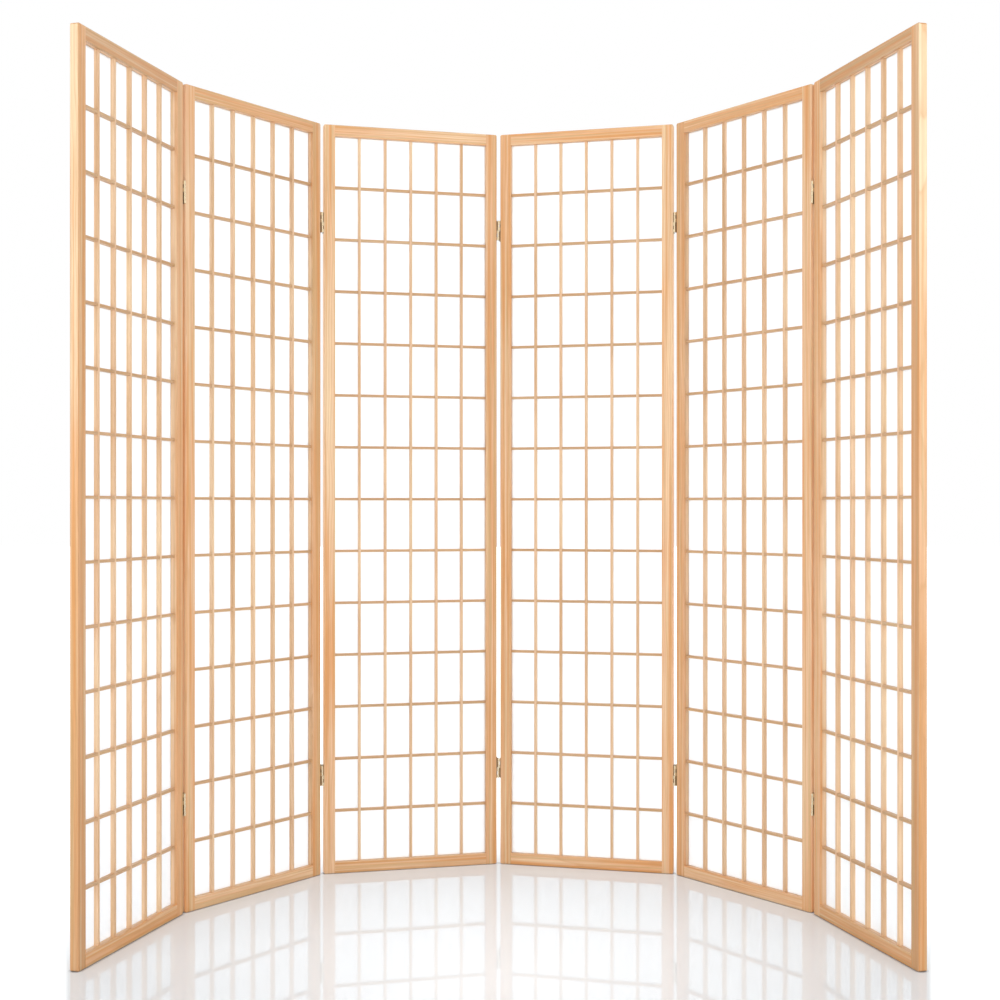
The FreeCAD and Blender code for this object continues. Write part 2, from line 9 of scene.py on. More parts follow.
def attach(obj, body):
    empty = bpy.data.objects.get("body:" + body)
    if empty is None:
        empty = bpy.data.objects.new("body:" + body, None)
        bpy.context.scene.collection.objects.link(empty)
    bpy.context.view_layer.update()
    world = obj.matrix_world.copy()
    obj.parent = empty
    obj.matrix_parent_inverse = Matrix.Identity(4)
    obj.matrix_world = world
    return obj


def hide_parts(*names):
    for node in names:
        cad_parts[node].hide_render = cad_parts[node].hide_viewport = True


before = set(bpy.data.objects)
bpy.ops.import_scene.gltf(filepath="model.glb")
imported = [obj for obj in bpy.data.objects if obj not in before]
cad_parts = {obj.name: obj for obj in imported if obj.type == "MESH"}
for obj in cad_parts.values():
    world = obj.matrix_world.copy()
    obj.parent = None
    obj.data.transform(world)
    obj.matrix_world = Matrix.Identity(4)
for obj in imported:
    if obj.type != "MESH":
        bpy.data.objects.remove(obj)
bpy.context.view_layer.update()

bl_info = {
    "name": "Folding screen",
    "version": (1, 0, 0),
    "blender": (4, 5, 0),
    "location": "3D View > Sidebar > Screen",
    "description": "Models a folding screen of pine, paper and brass in the frame of its CAD model",
    "category": "Object",
}

PANEL_COUNT = 6
# How far a cutting tool reaches beyond the piece that it cuts
OVERSHOOT = 0.01
SMOOTH_ANGLE = radians(35)


def linear(hex_colour):
    """An sRGB hex colour as linear red, green and blue."""
    parts = [int(hex_colour[i:i + 2], 16) / 255 for i in (1, 3, 5)]
    return tuple(p / 12.92 if p <= 0.04045 else ((p + 0.055) / 1.055) ** 2.4 for p in parts)


# Sizes and colours that a user would change

def length_setting(name, description, metres):
    """A length that a user can change."""
    return FloatProperty(name=name, description=description, default=metres, unit="LENGTH")


def angle_setting(name, description, degrees):
    """An angle that a user can change."""
    return FloatProperty(name=name, description=description, default=radians(degrees), subtype="ANGLE",
                         unit="ROTATION")


def colour_setting(name, description, hex_colour):
    """A colour that a user can change."""
    return FloatVectorProperty(name=name, description=description, default=linear(hex_colour),
                               subtype="COLOR")


class ScreenSizes(bpy.types.PropertyGroup):
    """Sizes of the screen, the same as in its CAD model."""

    panel_width: length_setting("Panel width", "Width of one panel", 0.426)
    panel_height: length_setting("Panel height", "Height of one panel", 1.79)
    panel_thickness: length_setting("Panel thickness", "Depth of the stiles and rails", 0.018)
    member_face: length_setting("Stile face", "Width of a stile or rail from the front", 0.027)
    edge_radius: length_setting("Edge radius", "Rounding of the outer edges", 0.0015)
    corner_radius: length_setting("Corner radius", "Rounding of the panel's corners", 0.004)
    lip_depth: length_setting("Lip depth", "Setback of the lattice from the front", 0.0063)
    rebate_width: length_setting("Rebate width", "Width of the rebate behind the lip", 0.007)
    lattice_clearance: length_setting("Lattice clearance", "Play of the lattice in its rebate", 0.00025)
    border_setback: length_setting("Border setback", "Border strip behind the lip's edge", 0.001)
    bar_width: length_setting("Bar width", "Width of a lattice bar", 0.006)
    bar_depth: length_setting("Bar depth", "Depth of a lattice bar", 0.0095)
    column_count: IntProperty(name="Columns", description="Panes across a panel", default=6)
    row_count: IntProperty(name="Rows", description="Panes up a panel", default=14)
    paper_thickness: length_setting("Paper thickness", "Thickness of the paper", 0.0002)
    tenon_length: length_setting("Tenon length", "Length of a rail's tenon", 0.015)
    tenon_thickness: length_setting("Tenon thickness", "Depth of a tenon, front to back", 0.006)
    tenon_height: length_setting("Tenon height", "Height of a tenon", 0.012)
    gap: length_setting("Gap", "Gap between neighbouring panels", 0.008)
    pin_standoff: length_setting("Pin standoff", "Distance of the pins from the faces", 0.0015)
    hinge_height: length_setting("Hinge height", "Height of a hinge", 0.048)
    hinge_end_distance: length_setting(
        "Hinge end distance", "Middle of a hinge from the panel's end", 0.235)
    barrel_radius: length_setting("Barrel radius", "Outer radius of a hinge knuckle", 0.0025)
    pin_radius: length_setting("Pin radius", "Radius of a hinge pin", 0.00125)
    leaf_thickness: length_setting("Leaf thickness", "Thickness of a hinge leaf", 0.0012)
    screw_head_radius: length_setting("Screw head radius", "Radius of a screw's head", 0.0028)
    middle_fold: angle_setting("Middle fold", "Angle between panels 3 and 4", 29.0)
    inner_fold: angle_setting("Inner fold", "Angle between panels 2 and 3, and 4 and 5", 39.3)
    outer_fold: angle_setting("Outer fold", "Angle between panels 1 and 2, and 5 and 6", 20.9)


class ScreenColours(bpy.types.PropertyGroup):
    """Colours of the screen's finishes and of the studio."""

    pine: colour_setting("Pine", "Early wood of the frame", "#EFC198")
    # Also the painted highlight on the side faces at the screen's free edges
    pine_pale_and_highlight: colour_setting("Pale pine", "Sapwood, where a board is palest", "#FAE2BC")
    pine_rings: colour_setting("Pine rings", "Late wood of the frame", "#D69F68")
    # Also painted shade on the outer panels, through their low tones
    pine_streaks_and_shade: colour_setting("Pine streaks", "Resin-rich streaks", "#E39E5C")
    pine_tan: colour_setting("Tan pine", "Dull bands between the streaks", "#D9B482")
    bars: colour_setting("Bars", "Lattice bars and beads", "#EDC7A2")
    bar_rings: colour_setting("Bar rings", "Late wood of the bars", "#C99A68")
    paper: colour_setting("Paper", "White fibre paper", "#FAFBFC")
    brass: colour_setting("Brass", "Brass plating", "#F4E6C6")
    # Painted shade inside the hinges, and the faint patches of film on all the brass
    tarnish_and_shade: colour_setting("Tarnish", "Dull film inside the hinges", "#5C431E")
    floor: colour_setting("Floor", "Studio floor", "#DFE6EC")


# Modelling by hand: a primitive at its size and place, then edit mode and applied modifiers

def use(*pieces):
    """Selects these pieces alone and makes the first of them active."""
    bpy.ops.object.select_all(action="DESELECT")
    for piece in pieces:
        piece.select_set(True)
    bpy.context.view_layer.objects.active = pieces[0]


def apply_place(piece):
    """Puts a piece's place, turn and scale in its mesh."""
    use(piece)
    bpy.ops.object.transform_apply(location=True, rotation=True, scale=True)


def block(name, low, high):
    """A box between two corners."""
    bpy.ops.object.select_all(action="DESELECT")
    bpy.ops.mesh.primitive_cube_add(
        size=1, location=[(a + b) / 2 for a, b in zip(low, high)],
        scale=[b - a for a, b in zip(low, high)])
    piece = bpy.context.object
    piece.name = name
    apply_place(piece)
    return piece


def rod(name, radius, foot, top, x=0.0, y=0.0, sides=24):
    """An upright round bar."""
    bpy.ops.object.select_all(action="DESELECT")
    bpy.ops.mesh.primitive_cylinder_add(
        vertices=sides, radius=radius, depth=top - foot, location=(x, y, (foot + top) / 2))
    piece = bpy.context.object
    piece.name = name
    apply_place(piece)
    return piece


def modify(piece, kind, **settings):
    """Adds a modifier with these settings and applies it."""
    use(piece)
    bpy.ops.object.modifier_add(type=kind)
    modifier = piece.modifiers[-1]
    for setting, value in settings.items():
        setattr(modifier, setting, value)
    bpy.ops.object.modifier_apply(modifier=modifier.name)


def carve(piece, *tools):
    """Cuts each tool's shape out of a piece and removes the tool."""
    for tool in tools:
        modify(piece, "BOOLEAN", operation="DIFFERENCE", solver="EXACT", object=tool)
        bpy.data.objects.remove(tool)


def unite(piece, *others):
    """Melts other pieces into one solid with this piece."""
    for other in others:
        modify(piece, "BOOLEAN", operation="UNION", solver="EXACT", object=other)
        bpy.data.objects.remove(other)


def repeat(piece, count, step):
    """Repeats a piece count times, each copy one step on from the last."""
    modify(piece, "ARRAY", count=count, use_relative_offset=False, use_constant_offset=True,
           constant_offset_displace=step)


def ease(piece, radius, segments, test):
    """Rounds the edges whose two ends pass a test."""
    use(piece)
    bpy.ops.object.mode_set(mode="EDIT")
    bpy.ops.mesh.select_mode(type="EDGE")
    bpy.ops.mesh.select_all(action="DESELECT")
    mesh = bmesh.from_edit_mesh(piece.data)
    for edge in mesh.edges:
        if test(*[corner.co for corner in edge.verts]):
            edge.select_set(True)
    bmesh.update_edit_mesh(piece.data)
    bpy.ops.mesh.bevel(offset=radius, segments=segments, affect="EDGES")
    bpy.ops.object.mode_set(mode="OBJECT")


def near(*values):
    """True if all the values agree to a hundredth of a millimetre."""
    return max(values) - min(values) < 1e-5


def smooth(piece):
    """Smooth shading that keeps the flats flat."""
    use(piece)
    bpy.ops.object.shade_smooth_by_angle(angle=SMOOTH_ANGLE)
    modify(piece, "WEIGHTED_NORMAL", keep_sharp=True)


def break_edges(piece, width, segments=1, angle=40):
    """Takes the sharpness off all edges that turn by more than an angle in degrees."""
    modify(piece, "BEVEL", width=width, segments=segments, limit_method="ANGLE", angle_limit=radians(angle))
    smooth(piece)


def outward(piece):
    """Turns all faces outwards."""
    use(piece)
    bpy.ops.object.mode_set(mode="EDIT")
    bpy.ops.mesh.select_all(action="SELECT")
    bpy.ops.mesh.remove_doubles(threshold=1e-7)
    bpy.ops.mesh.normals_make_consistent(inside=False)
    bpy.ops.object.mode_set(mode="OBJECT")


def copy(piece, name, place=Matrix()):
    """A copy with its own mesh, set in its place."""
    use(piece)
    bpy.ops.object.duplicate()
    made = bpy.context.object
    made.name = name
    made.data.name = name
    made.matrix_world = place
    apply_place(made)
    if place.determinant() < 0:
        outward(made)
    return made


def join(name, pieces):
    """Joins pieces into one object, still as separate solids."""
    use(*pieces)
    if len(pieces) > 1:
        bpy.ops.object.join()
    made = bpy.context.object
    made.name = name
    made.data.name = name
    return made


def discard(*pieces):
    """Removes pieces that were only copied from."""
    for piece in pieces:
        bpy.data.objects.remove(piece)


# Grain: each board carries its own coordinates, lengthwise, across and through, its number and its tone.
# The number picks the board's place in the log. A tone below 0 is orange and dark, one above 0 is pale.
# Part of this is the boards' own resin and sapwood, and part is painted light: shade on the outer panels
# and a highlight on the free side faces.

# The first board's number for each part of a panel, and the numbers that a panel takes up
FIRST_BOARD = {"left_stile": 0, "right_stile": 0, "bottom_rail": 2, "top_rail": 2, "uprights": 4,
               "crossbars": 10, "border": 30, "beads": 40}
BOARDS_IN_PANEL = 60

# The tone of each panel's boards at the top and at the foot, from left to right. The low tones of the
# outer panels, lowest at the foot of their outer stiles, are mostly painted shade on the boards' own colour.
STILE_TONES = {
    "left": ((-0.2, -2.6), (0.0, -0.2), (0.8, -0.1), (-0.4, -0.5), (-0.5, -0.6), (-0.5, -0.6)),
    "right": ((-0.3, -0.4), (-0.5, -0.6), (-0.4, -0.5), (0.8, -0.1), (0.0, -0.2), (-0.3, -2.6))}
RAIL_TONES = ((-2.4, -0.8), (-0.6, 0.1), (-0.1, 0.0), (-0.1, -0.2), (-0.6, 0.1), (-2.4, -0.8))
# The crossbars are drawn darker and more orange than the uprights.
CROSSBAR_TONES = ((-1.3, -1.3),) * PANEL_COUNT
MIDDLE_TONES = ((0, 0),) * PANEL_COUNT
# A painted highlight: what the side faces at the screen's two free edges add to their stile's tone at the
# foot, and how much more they add at the top
SIDE_HIGHLIGHT, SIDE_HIGHLIGHT_RISE = 0.2, 1.7


def lay_grain(piece, upright, number):
    """Writes the grain's run to a board. number gives a board's number from a point on it."""
    mesh = piece.data
    mesh.attributes.new("grain", "FLOAT_VECTOR", "POINT")
    mesh.attributes.new("board", "FLOAT", "POINT")
    mesh.attributes.new("tone", "FLOAT", "POINT")
    grain, board = mesh.attributes["grain"].data, mesh.attributes["board"].data
    for index, vertex in enumerate(mesh.vertices):
        across, through, up = vertex.co
        grain[index].vector = (up, across, through) if upright else (across, up, through)
        board[index].value = number(vertex.co)


def renumber(piece, step, height, top_tone, foot_tone):
    """Gives a copied piece's boards their own numbers, and a tone that runs from the foot to the top."""
    mesh = piece.data
    boards, tones = mesh.attributes["board"].data, mesh.attributes["tone"].data
    for vertex, board, tone in zip(mesh.vertices, boards, tones):
        board.value += step
        tone.value = foot_tone + (top_tone - foot_tone) * vertex.co.z / height


# Layout

def panel_places(sizes):
    """The place of each panel in the arc, from left to right, with the origin under its middle."""
    third = sizes.middle_fold / 2
    second = third + sizes.inner_fold
    first = second + sizes.outer_fold
    turns = [Matrix.Rotation(angle, 4, "Z") for angle in (first, second, third, -third, -second, -first)]
    left = Vector((-sizes.gap / 2, -sizes.pin_standoff, 0))
    right = Vector((sizes.panel_width + sizes.gap / 2, -sizes.pin_standoff, 0))
    corners = [None] * PANEL_COUNT
    pin = Vector()
    for index in (2, 1, 0):
        corners[index] = pin - turns[index] @ right
        pin = corners[index] + turns[index] @ left
    pin = Vector()
    for index in (3, 4, 5):
        corners[index] = pin - turns[index] @ left
        pin = corners[index] + turns[index] @ right
    edge = sizes.edge_radius
    front = (corners[0] + turns[0] @ Vector((edge, edge, 0))).y - edge
    back_pin = Vector((right.x, sizes.panel_thickness + sizes.pin_standoff, 0))
    back = (corners[2] + turns[2] @ back_pin).y + sizes.barrel_radius
    shift = Vector((0, -(front + back) / 2, 0))
    return [Matrix.Translation(corner + shift) @ turn for corner, turn in zip(corners, turns)]


def half_turn(sizes):
    """Turns a panel's piece end for end in the panel's own plane."""
    return Matrix.Translation((sizes.panel_width, 0, sizes.panel_height)) @ Matrix.Rotation(pi, 4, "Y")


def settle(piece, body, slot, material, *nodes):
    """Gives a finished piece its material and its body, and hides the CAD nodes that it stands for."""
    piece.data.materials.clear()
    piece.data.materials.append(material)
    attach(piece, body)
    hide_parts(*nodes)


def set_in_panels(sizes, master, part, node, slot, material, tones=MIDDLE_TONES):
    """Sets a copy of a wooden piece in each panel. tones holds each panel's tone at the top and the foot."""
    for panel, (place, tone) in enumerate(zip(panel_places(sizes), tones), 1):
        piece = copy(master, f"panel_{panel}.{part}", place)
        renumber(piece, FIRST_BOARD[part] + BOARDS_IN_PANEL * panel, sizes.panel_height, *tone)
        settle(piece, f"panel_{panel}", slot, material, f"panel_{panel}_{node}")


# Materials

def add(tree, kind, inputs=None, stops=None, **settings):
    """Adds a node with its settings, its inputs, given as values or sockets, and its ramp's stops."""
    made = tree.nodes.new(kind)
    for setting, value in settings.items():
        setattr(made, setting, value)
    for socket, value in (inputs or {}).items():
        if isinstance(value, bpy.types.NodeSocket):
            tree.links.new(value, made.inputs[socket])
        else:
            made.inputs[socket].default_value = value
    if stops:
        ramp = made.color_ramp
        while len(ramp.elements) < len(stops):
            ramp.elements.new(1.0)
        for element, (position, level) in zip(ramp.elements, stops):
            element.position = position
            element.color = (level, level, level, 1)
    return made


def new_material(name):
    """An empty material, and its node tree."""
    material = bpy.data.materials.new(name)
    material.use_nodes = True
    material.node_tree.nodes.clear()
    return material, material.node_tree


def varnished_pine(name, early, pale, rings, streaks, tan, ring_spacing, depth):
    """Clear-varnished pine. Bands of orange resin, dull tan and pale wood run along the board under fine
    darker rings, and each board drifts slowly between pale and orange. A board's tone adds painted light:
    darker, more orange wood as shade and paler wood as a highlight. The satin varnish gives a sheen."""
    if name in bpy.data.materials:
        return bpy.data.materials[name]
    material, tree = new_material(name)
    grain = add(tree, "ShaderNodeAttribute", attribute_name="grain").outputs["Vector"]
    board = add(tree, "ShaderNodeAttribute", attribute_name="board").outputs["Fac"]
    tone = add(tree, "ShaderNodeAttribute", attribute_name="tone").outputs["Fac"]
    number = add(tree, "ShaderNodeMath", {0: board}, operation="ROUND").outputs[0]
    lot = add(tree, "ShaderNodeTexWhiteNoise", {"W": number}, noise_dimensions="1D")
    # The pith lies up to 70 mm from the board, and each board is cut from another length of the log.
    pith = add(tree, "ShaderNodeVectorMath", {0: lot.outputs["Color"], 1: (9.0, 0.14, 0.14),
                                             2: (0.0, -0.07, -0.07)}, operation="MULTIPLY_ADD").outputs[0]
    place = add(tree, "ShaderNodeVectorMath", {0: grain, 1: pith}, operation="ADD").outputs[0]

    # The rings wander by about 5 mm over half a metre of length.
    drift_place = add(tree, "ShaderNodeVectorMath", {0: place, 1: (2.2, 14.0, 14.0)},
                      operation="MULTIPLY").outputs[0]
    drift = add(tree, "ShaderNodeTexNoise", {"Vector": drift_place, "Scale": 1.0, "Detail": 3.0,
                                             "Roughness": 0.55}).outputs["Color"]
    wander = add(tree, "ShaderNodeVectorMath", {0: drift, 1: (0.0, 0.03, 0.03),
                                               2: (0.0, -0.015, -0.015)}, operation="MULTIPLY_ADD").outputs[0]
    ring_place = add(tree, "ShaderNodeVectorMath", {0: place, 1: wander}, operation="ADD").outputs[0]
    # A wave of scale s repeats every 0.314 / s metres. Rings are 2 to 3 mm apart in pine, which is under
    # two pixels, so they are drawn wider apart.
    ring = add(tree, "ShaderNodeTexWave", {"Vector": ring_place, "Scale": 0.314 / ring_spacing},
               wave_type="RINGS", rings_direction="X", wave_profile="SAW").outputs["Fac"]
    late_wood = add(tree, "ShaderNodeValToRGB", {"Fac": ring},
                    stops=[(0.0, 0.2), (0.3, 0.0), (0.8, 0.6), (0.92, 1.0), (1.0, 0.2)]).outputs["Color"]

    # The bands are 4 to 10 mm wide and up to a metre long.
    band_place = add(tree, "ShaderNodeVectorMath", {0: place, 1: (1.5, 150.0, 150.0)},
                     operation="MULTIPLY").outputs[0]
    bands = add(tree, "ShaderNodeTexNoise", {"Vector": band_place, "Scale": 1.0, "Detail": 2.0,
                                             "Roughness": 0.5}).outputs["Color"]
    bands = add(tree, "ShaderNodeSeparateXYZ", {0: bands}).outputs
    band_shares = [
        (add(tree, "ShaderNodeMapRange", {0: bands[axis], 1: start, 2: full, 3: 0.0, 4: most * depth},
             interpolation_type="SMOOTHSTEP").outputs[0], band_colour)
        for axis, start, full, most, band_colour in (
            ("Y", 0.47, 0.64, 0.75, tan), ("X", 0.46, 0.64, 0.85, streaks), ("Z", 0.52, 0.68, 0.45, pale))]
    # The pale sapwood comes and goes over about 400 mm of length.
    sap_place = add(tree, "ShaderNodeVectorMath", {0: place, 1: (2.6, 16.0, 16.0)},
                    operation="MULTIPLY").outputs[0]
    sap = add(tree, "ShaderNodeTexNoise", {"Vector": sap_place, "Scale": 1.0, "Detail": 2.0}).outputs["Fac"]
    # The tone shifts this level: a low tone paints shade as resin, a high one paints a highlight as sapwood.
    sap_and_painted_light_level = add(tree, "ShaderNodeMath", {0: tone, 1: 0.3, 2: sap}, operation="MULTIPLY_ADD").outputs[0]
    sap_and_highlight_share = add(tree, "ShaderNodeMapRange", {0: sap_and_painted_light_level, 1: 0.46, 2: 0.86, 3: 0.0, 4: 0.9}).outputs[0]
    resin_and_shade_share = add(tree, "ShaderNodeMapRange", {0: sap_and_painted_light_level, 1: 0.5, 2: 0.2, 3: 0.0, 4: 0.6}).outputs[0]
    # Fibres are far too fine to show, so they are drawn as streaks 1.4 mm wide, which is nearly a pixel.
    fibre_place = add(tree, "ShaderNodeVectorMath", {0: place, 1: (18.0, 700.0, 700.0)},
                      operation="MULTIPLY").outputs[0]
    fibre = add(tree, "ShaderNodeTexNoise", {"Vector": fibre_place, "Scale": 1.0,
                                             "Detail": 3.0}).outputs["Fac"]

    sap_and_highlight_colour = add(tree, "ShaderNodeMix", {0: sap_and_highlight_share, 6: (*early, 1), 7: (*pale, 1)},
                data_type="RGBA").outputs[2]
    resin_and_shade_colour = add(tree, "ShaderNodeMix", {0: resin_and_shade_share, 6: sap_and_highlight_colour, 7: (*streaks, 1)},
                   data_type="RGBA").outputs[2]
    # The bands fade out in the sapwood.
    heart = add(tree, "ShaderNodeMapRange", {0: sap_and_highlight_share, 3: 1.0, 4: 0.2}).outputs[0]
    layer = resin_and_shade_colour
    for share, band_colour in band_shares:
        share = add(tree, "ShaderNodeMath", {0: share, 1: heart}, operation="MULTIPLY").outputs[0]
        layer = add(tree, "ShaderNodeMix", {0: share, 6: layer, 7: (*band_colour, 1)},
                    data_type="RGBA").outputs[2]
    ring_share = add(tree, "ShaderNodeMath", {0: late_wood, 1: 0.45 * depth}, operation="MULTIPLY").outputs[0]
    ringed = add(tree, "ShaderNodeMix", {0: ring_share, 6: layer, 7: (*rings, 1)},
                 data_type="RGBA").outputs[2]
    fibre_level = add(tree, "ShaderNodeMapRange", {0: fibre, 1: 0.3, 2: 0.7, 3: 0.94, 4: 1.05}).outputs[0]
    board_level = add(tree, "ShaderNodeMapRange", {0: lot.outputs["Value"], 3: 0.97, 4: 1.03}).outputs[0]
    # A low tone also darkens the wood, as painted shade.
    resin_and_shade_level = add(tree, "ShaderNodeMapRange", {0: tone, 1: -2.4, 2: 0.4, 3: 0.82, 4: 1.0}).outputs[0]
    level = add(tree, "ShaderNodeMath", {0: fibre_level, 1: board_level}, operation="MULTIPLY").outputs[0]
    level = add(tree, "ShaderNodeMath", {0: level, 1: resin_and_shade_level}, operation="MULTIPLY").outputs[0]
    colour = add(tree, "ShaderNodeVectorMath", {0: ringed, 3: level}, operation="SCALE").outputs[0]
    roughness = add(tree, "ShaderNodeMapRange", {0: fibre, 3: 0.38, 4: 0.52}).outputs[0]
    bump = add(tree, "ShaderNodeBump", {"Height": fibre, "Strength": 0.2, "Distance": 0.0002}).outputs[0]
    varnish = add(tree, "ShaderNodeBsdfPrincipled", {
        "Base Color": colour, "Roughness": roughness, "IOR": 1.5, "Coat Weight": 0.1,
        "Coat Roughness": 0.3, "Normal": bump})
    add(tree, "ShaderNodeOutputMaterial", {"Surface": varnish.outputs[0]})
    return material


def frame_pine(colours):
    """Pine of the stiles and rails, with all its bands at full strength."""
    return varnished_pine("pine_satin_varnish", colours.pine, colours.pine_pale_and_highlight, colours.pine_rings,
                          colours.pine_streaks_and_shade, colours.pine_tan, ring_spacing=0.0055, depth=1.0)


def bar_pine(colours):
    """Pine of the bars and strips, which are cut too small to show whole bands."""
    return varnished_pine("pine_bars_satin_varnish", colours.bars, colours.pine_pale_and_highlight, colours.bar_rings,
                          colours.bar_rings, colours.pine_tan, ring_spacing=0.004, depth=0.5)


def fibre_paper(colours):
    """White fibre paper. Loose fibres show as faint paler lines, and light from behind makes it glow."""
    if "fibre_paper" in bpy.data.materials:
        return bpy.data.materials["fibre_paper"]
    material, tree = new_material("fibre_paper")
    place = add(tree, "ShaderNodeTexCoord").outputs["Object"]
    # Clouds in the pulp are about 18 mm across.
    cloud = add(tree, "ShaderNodeTexNoise", {"Vector": place, "Scale": 55.0, "Detail": 4.0}).outputs["Fac"]
    # Loose fibres are too fine to show, so they are drawn as lines that run level for about 7 mm, some
    # 1.3 mm apart.
    fibre_place = add(tree, "ShaderNodeMapping", {"Vector": place, "Scale": (1.0, 1.0, 5.0)}).outputs[0]
    fibre = add(tree, "ShaderNodeTexNoise", {"Vector": fibre_place, "Scale": 150.0, "Detail": 2.0,
                                             "Distortion": 2.5}).outputs["Fac"]
    fibre_share = add(tree, "ShaderNodeValToRGB", {"Fac": fibre},
                      stops=[(0.0, 0.0), (0.47, 0.0), (0.5, 1.0), (0.53, 0.0)]).outputs["Color"]
    cloud_level = add(tree, "ShaderNodeMapRange", {0: cloud, 1: 0.3, 2: 0.7, 3: 0.985, 4: 1.0}).outputs[0]
    fibre_level = add(tree, "ShaderNodeMapRange", {0: fibre_share, 3: 1.0, 4: 0.985}).outputs[0]
    level = add(tree, "ShaderNodeMath", {0: cloud_level, 1: fibre_level}, operation="MULTIPLY").outputs[0]
    colour = add(tree, "ShaderNodeVectorMath", {0: tuple(colours.paper), 3: level},
                 operation="SCALE").outputs[0]
    bump = add(tree, "ShaderNodeBump", {"Height": fibre, "Strength": 0.2, "Distance": 0.0001}).outputs[0]
    front = add(tree, "ShaderNodeBsdfPrincipled", {
        "Base Color": colour, "Roughness": 0.85, "IOR": 1.45, "Specular IOR Level": 0.2, "Normal": bump})
    through = add(tree, "ShaderNodeBsdfTranslucent", {"Color": colour})
    sheet = add(tree, "ShaderNodeMixShader", {0: 0.6, 1: front.outputs[0], 2: through.outputs[0]})
    add(tree, "ShaderNodeOutputMaterial", {"Surface": sheet.outputs[0]})
    return material


def plated_brass(colours, name="plated_brass", roughness=0.25):
    """Brass plating on pressed steel: bright and pale on the knuckles, with faint rolling marks and faint
    patches of film. Inside the hinge a painted shade darkens it to brown."""
    if name in bpy.data.materials:
        return bpy.data.materials[name]
    material, tree = new_material(name)
    place = add(tree, "ShaderNodeTexCoord").outputs["Object"]
    recess = add(tree, "ShaderNodeAttribute", attribute_name="recess").outputs["Fac"]
    # The film's patches are about 4 mm across.
    film = add(tree, "ShaderNodeTexNoise", {"Vector": place, "Scale": 260.0, "Detail": 4.0}).outputs["Fac"]
    patches = add(tree, "ShaderNodeMapRange", {0: film, 1: 0.5, 2: 0.75, 3: 0.0, 4: 0.12}).outputs[0]
    # Painted shade: the brown comes in with the depth inside the hinge, where little light reaches, and the
    # patches add a faint film everywhere.
    inside = add(tree, "ShaderNodeMath", {0: recess, 1: 0.85, 2: patches}, operation="MULTIPLY_ADD",
                 use_clamp=True).outputs[0]
    colour = add(tree, "ShaderNodeMix", {0: inside, 6: (*colours.brass, 1), 7: (*colours.tarnish_and_shade, 1)},
                 data_type="RGBA").outputs[2]
    # The rolling marks are 0.2 mm apart and 3 mm long.
    mark_place = add(tree, "ShaderNodeMapping", {"Vector": place, "Scale": (1.0, 1.0, 0.06)}).outputs[0]
    marks = add(tree, "ShaderNodeTexNoise", {"Vector": mark_place, "Scale": 5000.0}).outputs["Fac"]
    shine = add(tree, "ShaderNodeMapRange", {0: inside, 3: roughness, 4: roughness + 0.3}).outputs[0]
    bump = add(tree, "ShaderNodeBump", {"Height": marks, "Strength": 0.15, "Distance": 0.00003}).outputs[0]
    metal = add(tree, "ShaderNodeBsdfPrincipled", {
        "Base Color": colour, "Metallic": 1.0, "Roughness": shine, "Normal": bump})
    add(tree, "ShaderNodeOutputMaterial", {"Surface": metal.outputs[0]})
    return material


def brass_screw(colours):
    """The same plating on a turned screw, a little duller."""
    return plated_brass(colours, "plated_brass_screw", 0.3)


# Wooden pieces, each modelled in a panel's own frame: X across, Y from front to back, Z up

# A tenon's front and lower side, from the panel's front face and lower edge, and the play in its mortise
TENON_FRONT, TENON_LOW, TENON_PLAY = 0.006, 0.005, 0.0001
# How far the sharp edges of a frame member or strip, and of a bar, are rubbed down
ARRIS, BAR_ARRIS = 0.0004, 0.0005


def front_or_back(sizes, *points):
    """True if the points all lie on the front face or all on the back face."""
    depths = [point.y for point in points]
    return near(*depths) and (near(depths[0], 0.0) or near(depths[0], sizes.panel_thickness))


def left_stile(sizes):
    """The left stile with its rounded outline, its rebate and the mortises for the rails."""
    face, thickness, height = sizes.member_face, sizes.panel_thickness, sizes.panel_height
    stile = block("left_stile", (0, 0, 0), (face, thickness, height))
    ease(stile, sizes.corner_radius, 6,
         lambda a, b: near(a.x, b.x, 0.0) and near(a.z, b.z))
    ease(stile, sizes.edge_radius, 3,
         lambda a, b: front_or_back(sizes, a, b) and not near(a.x, b.x, face))
    start = face - sizes.rebate_width
    carve(stile, block("rebate_tool", (start, sizes.lip_depth, start),
                       (face + OVERSHOOT, thickness + OVERSHOOT, height - start)))
    mortise_start, mortise_front = face - sizes.tenon_length - TENON_PLAY, TENON_FRONT - TENON_PLAY
    for low in (TENON_LOW, height - TENON_LOW - sizes.tenon_height):
        carve(stile, block("mortise_tool", (mortise_start, mortise_front, low - TENON_PLAY),
                           (face + OVERSHOOT, TENON_FRONT + sizes.tenon_thickness + TENON_PLAY,
                            low + sizes.tenon_height + TENON_PLAY)))
    ease(stile, ARRIS, 2, lambda a, b: near(a.x, b.x, face) and near(a.y, b.y, 0.0))
    smooth(stile)
    return stile


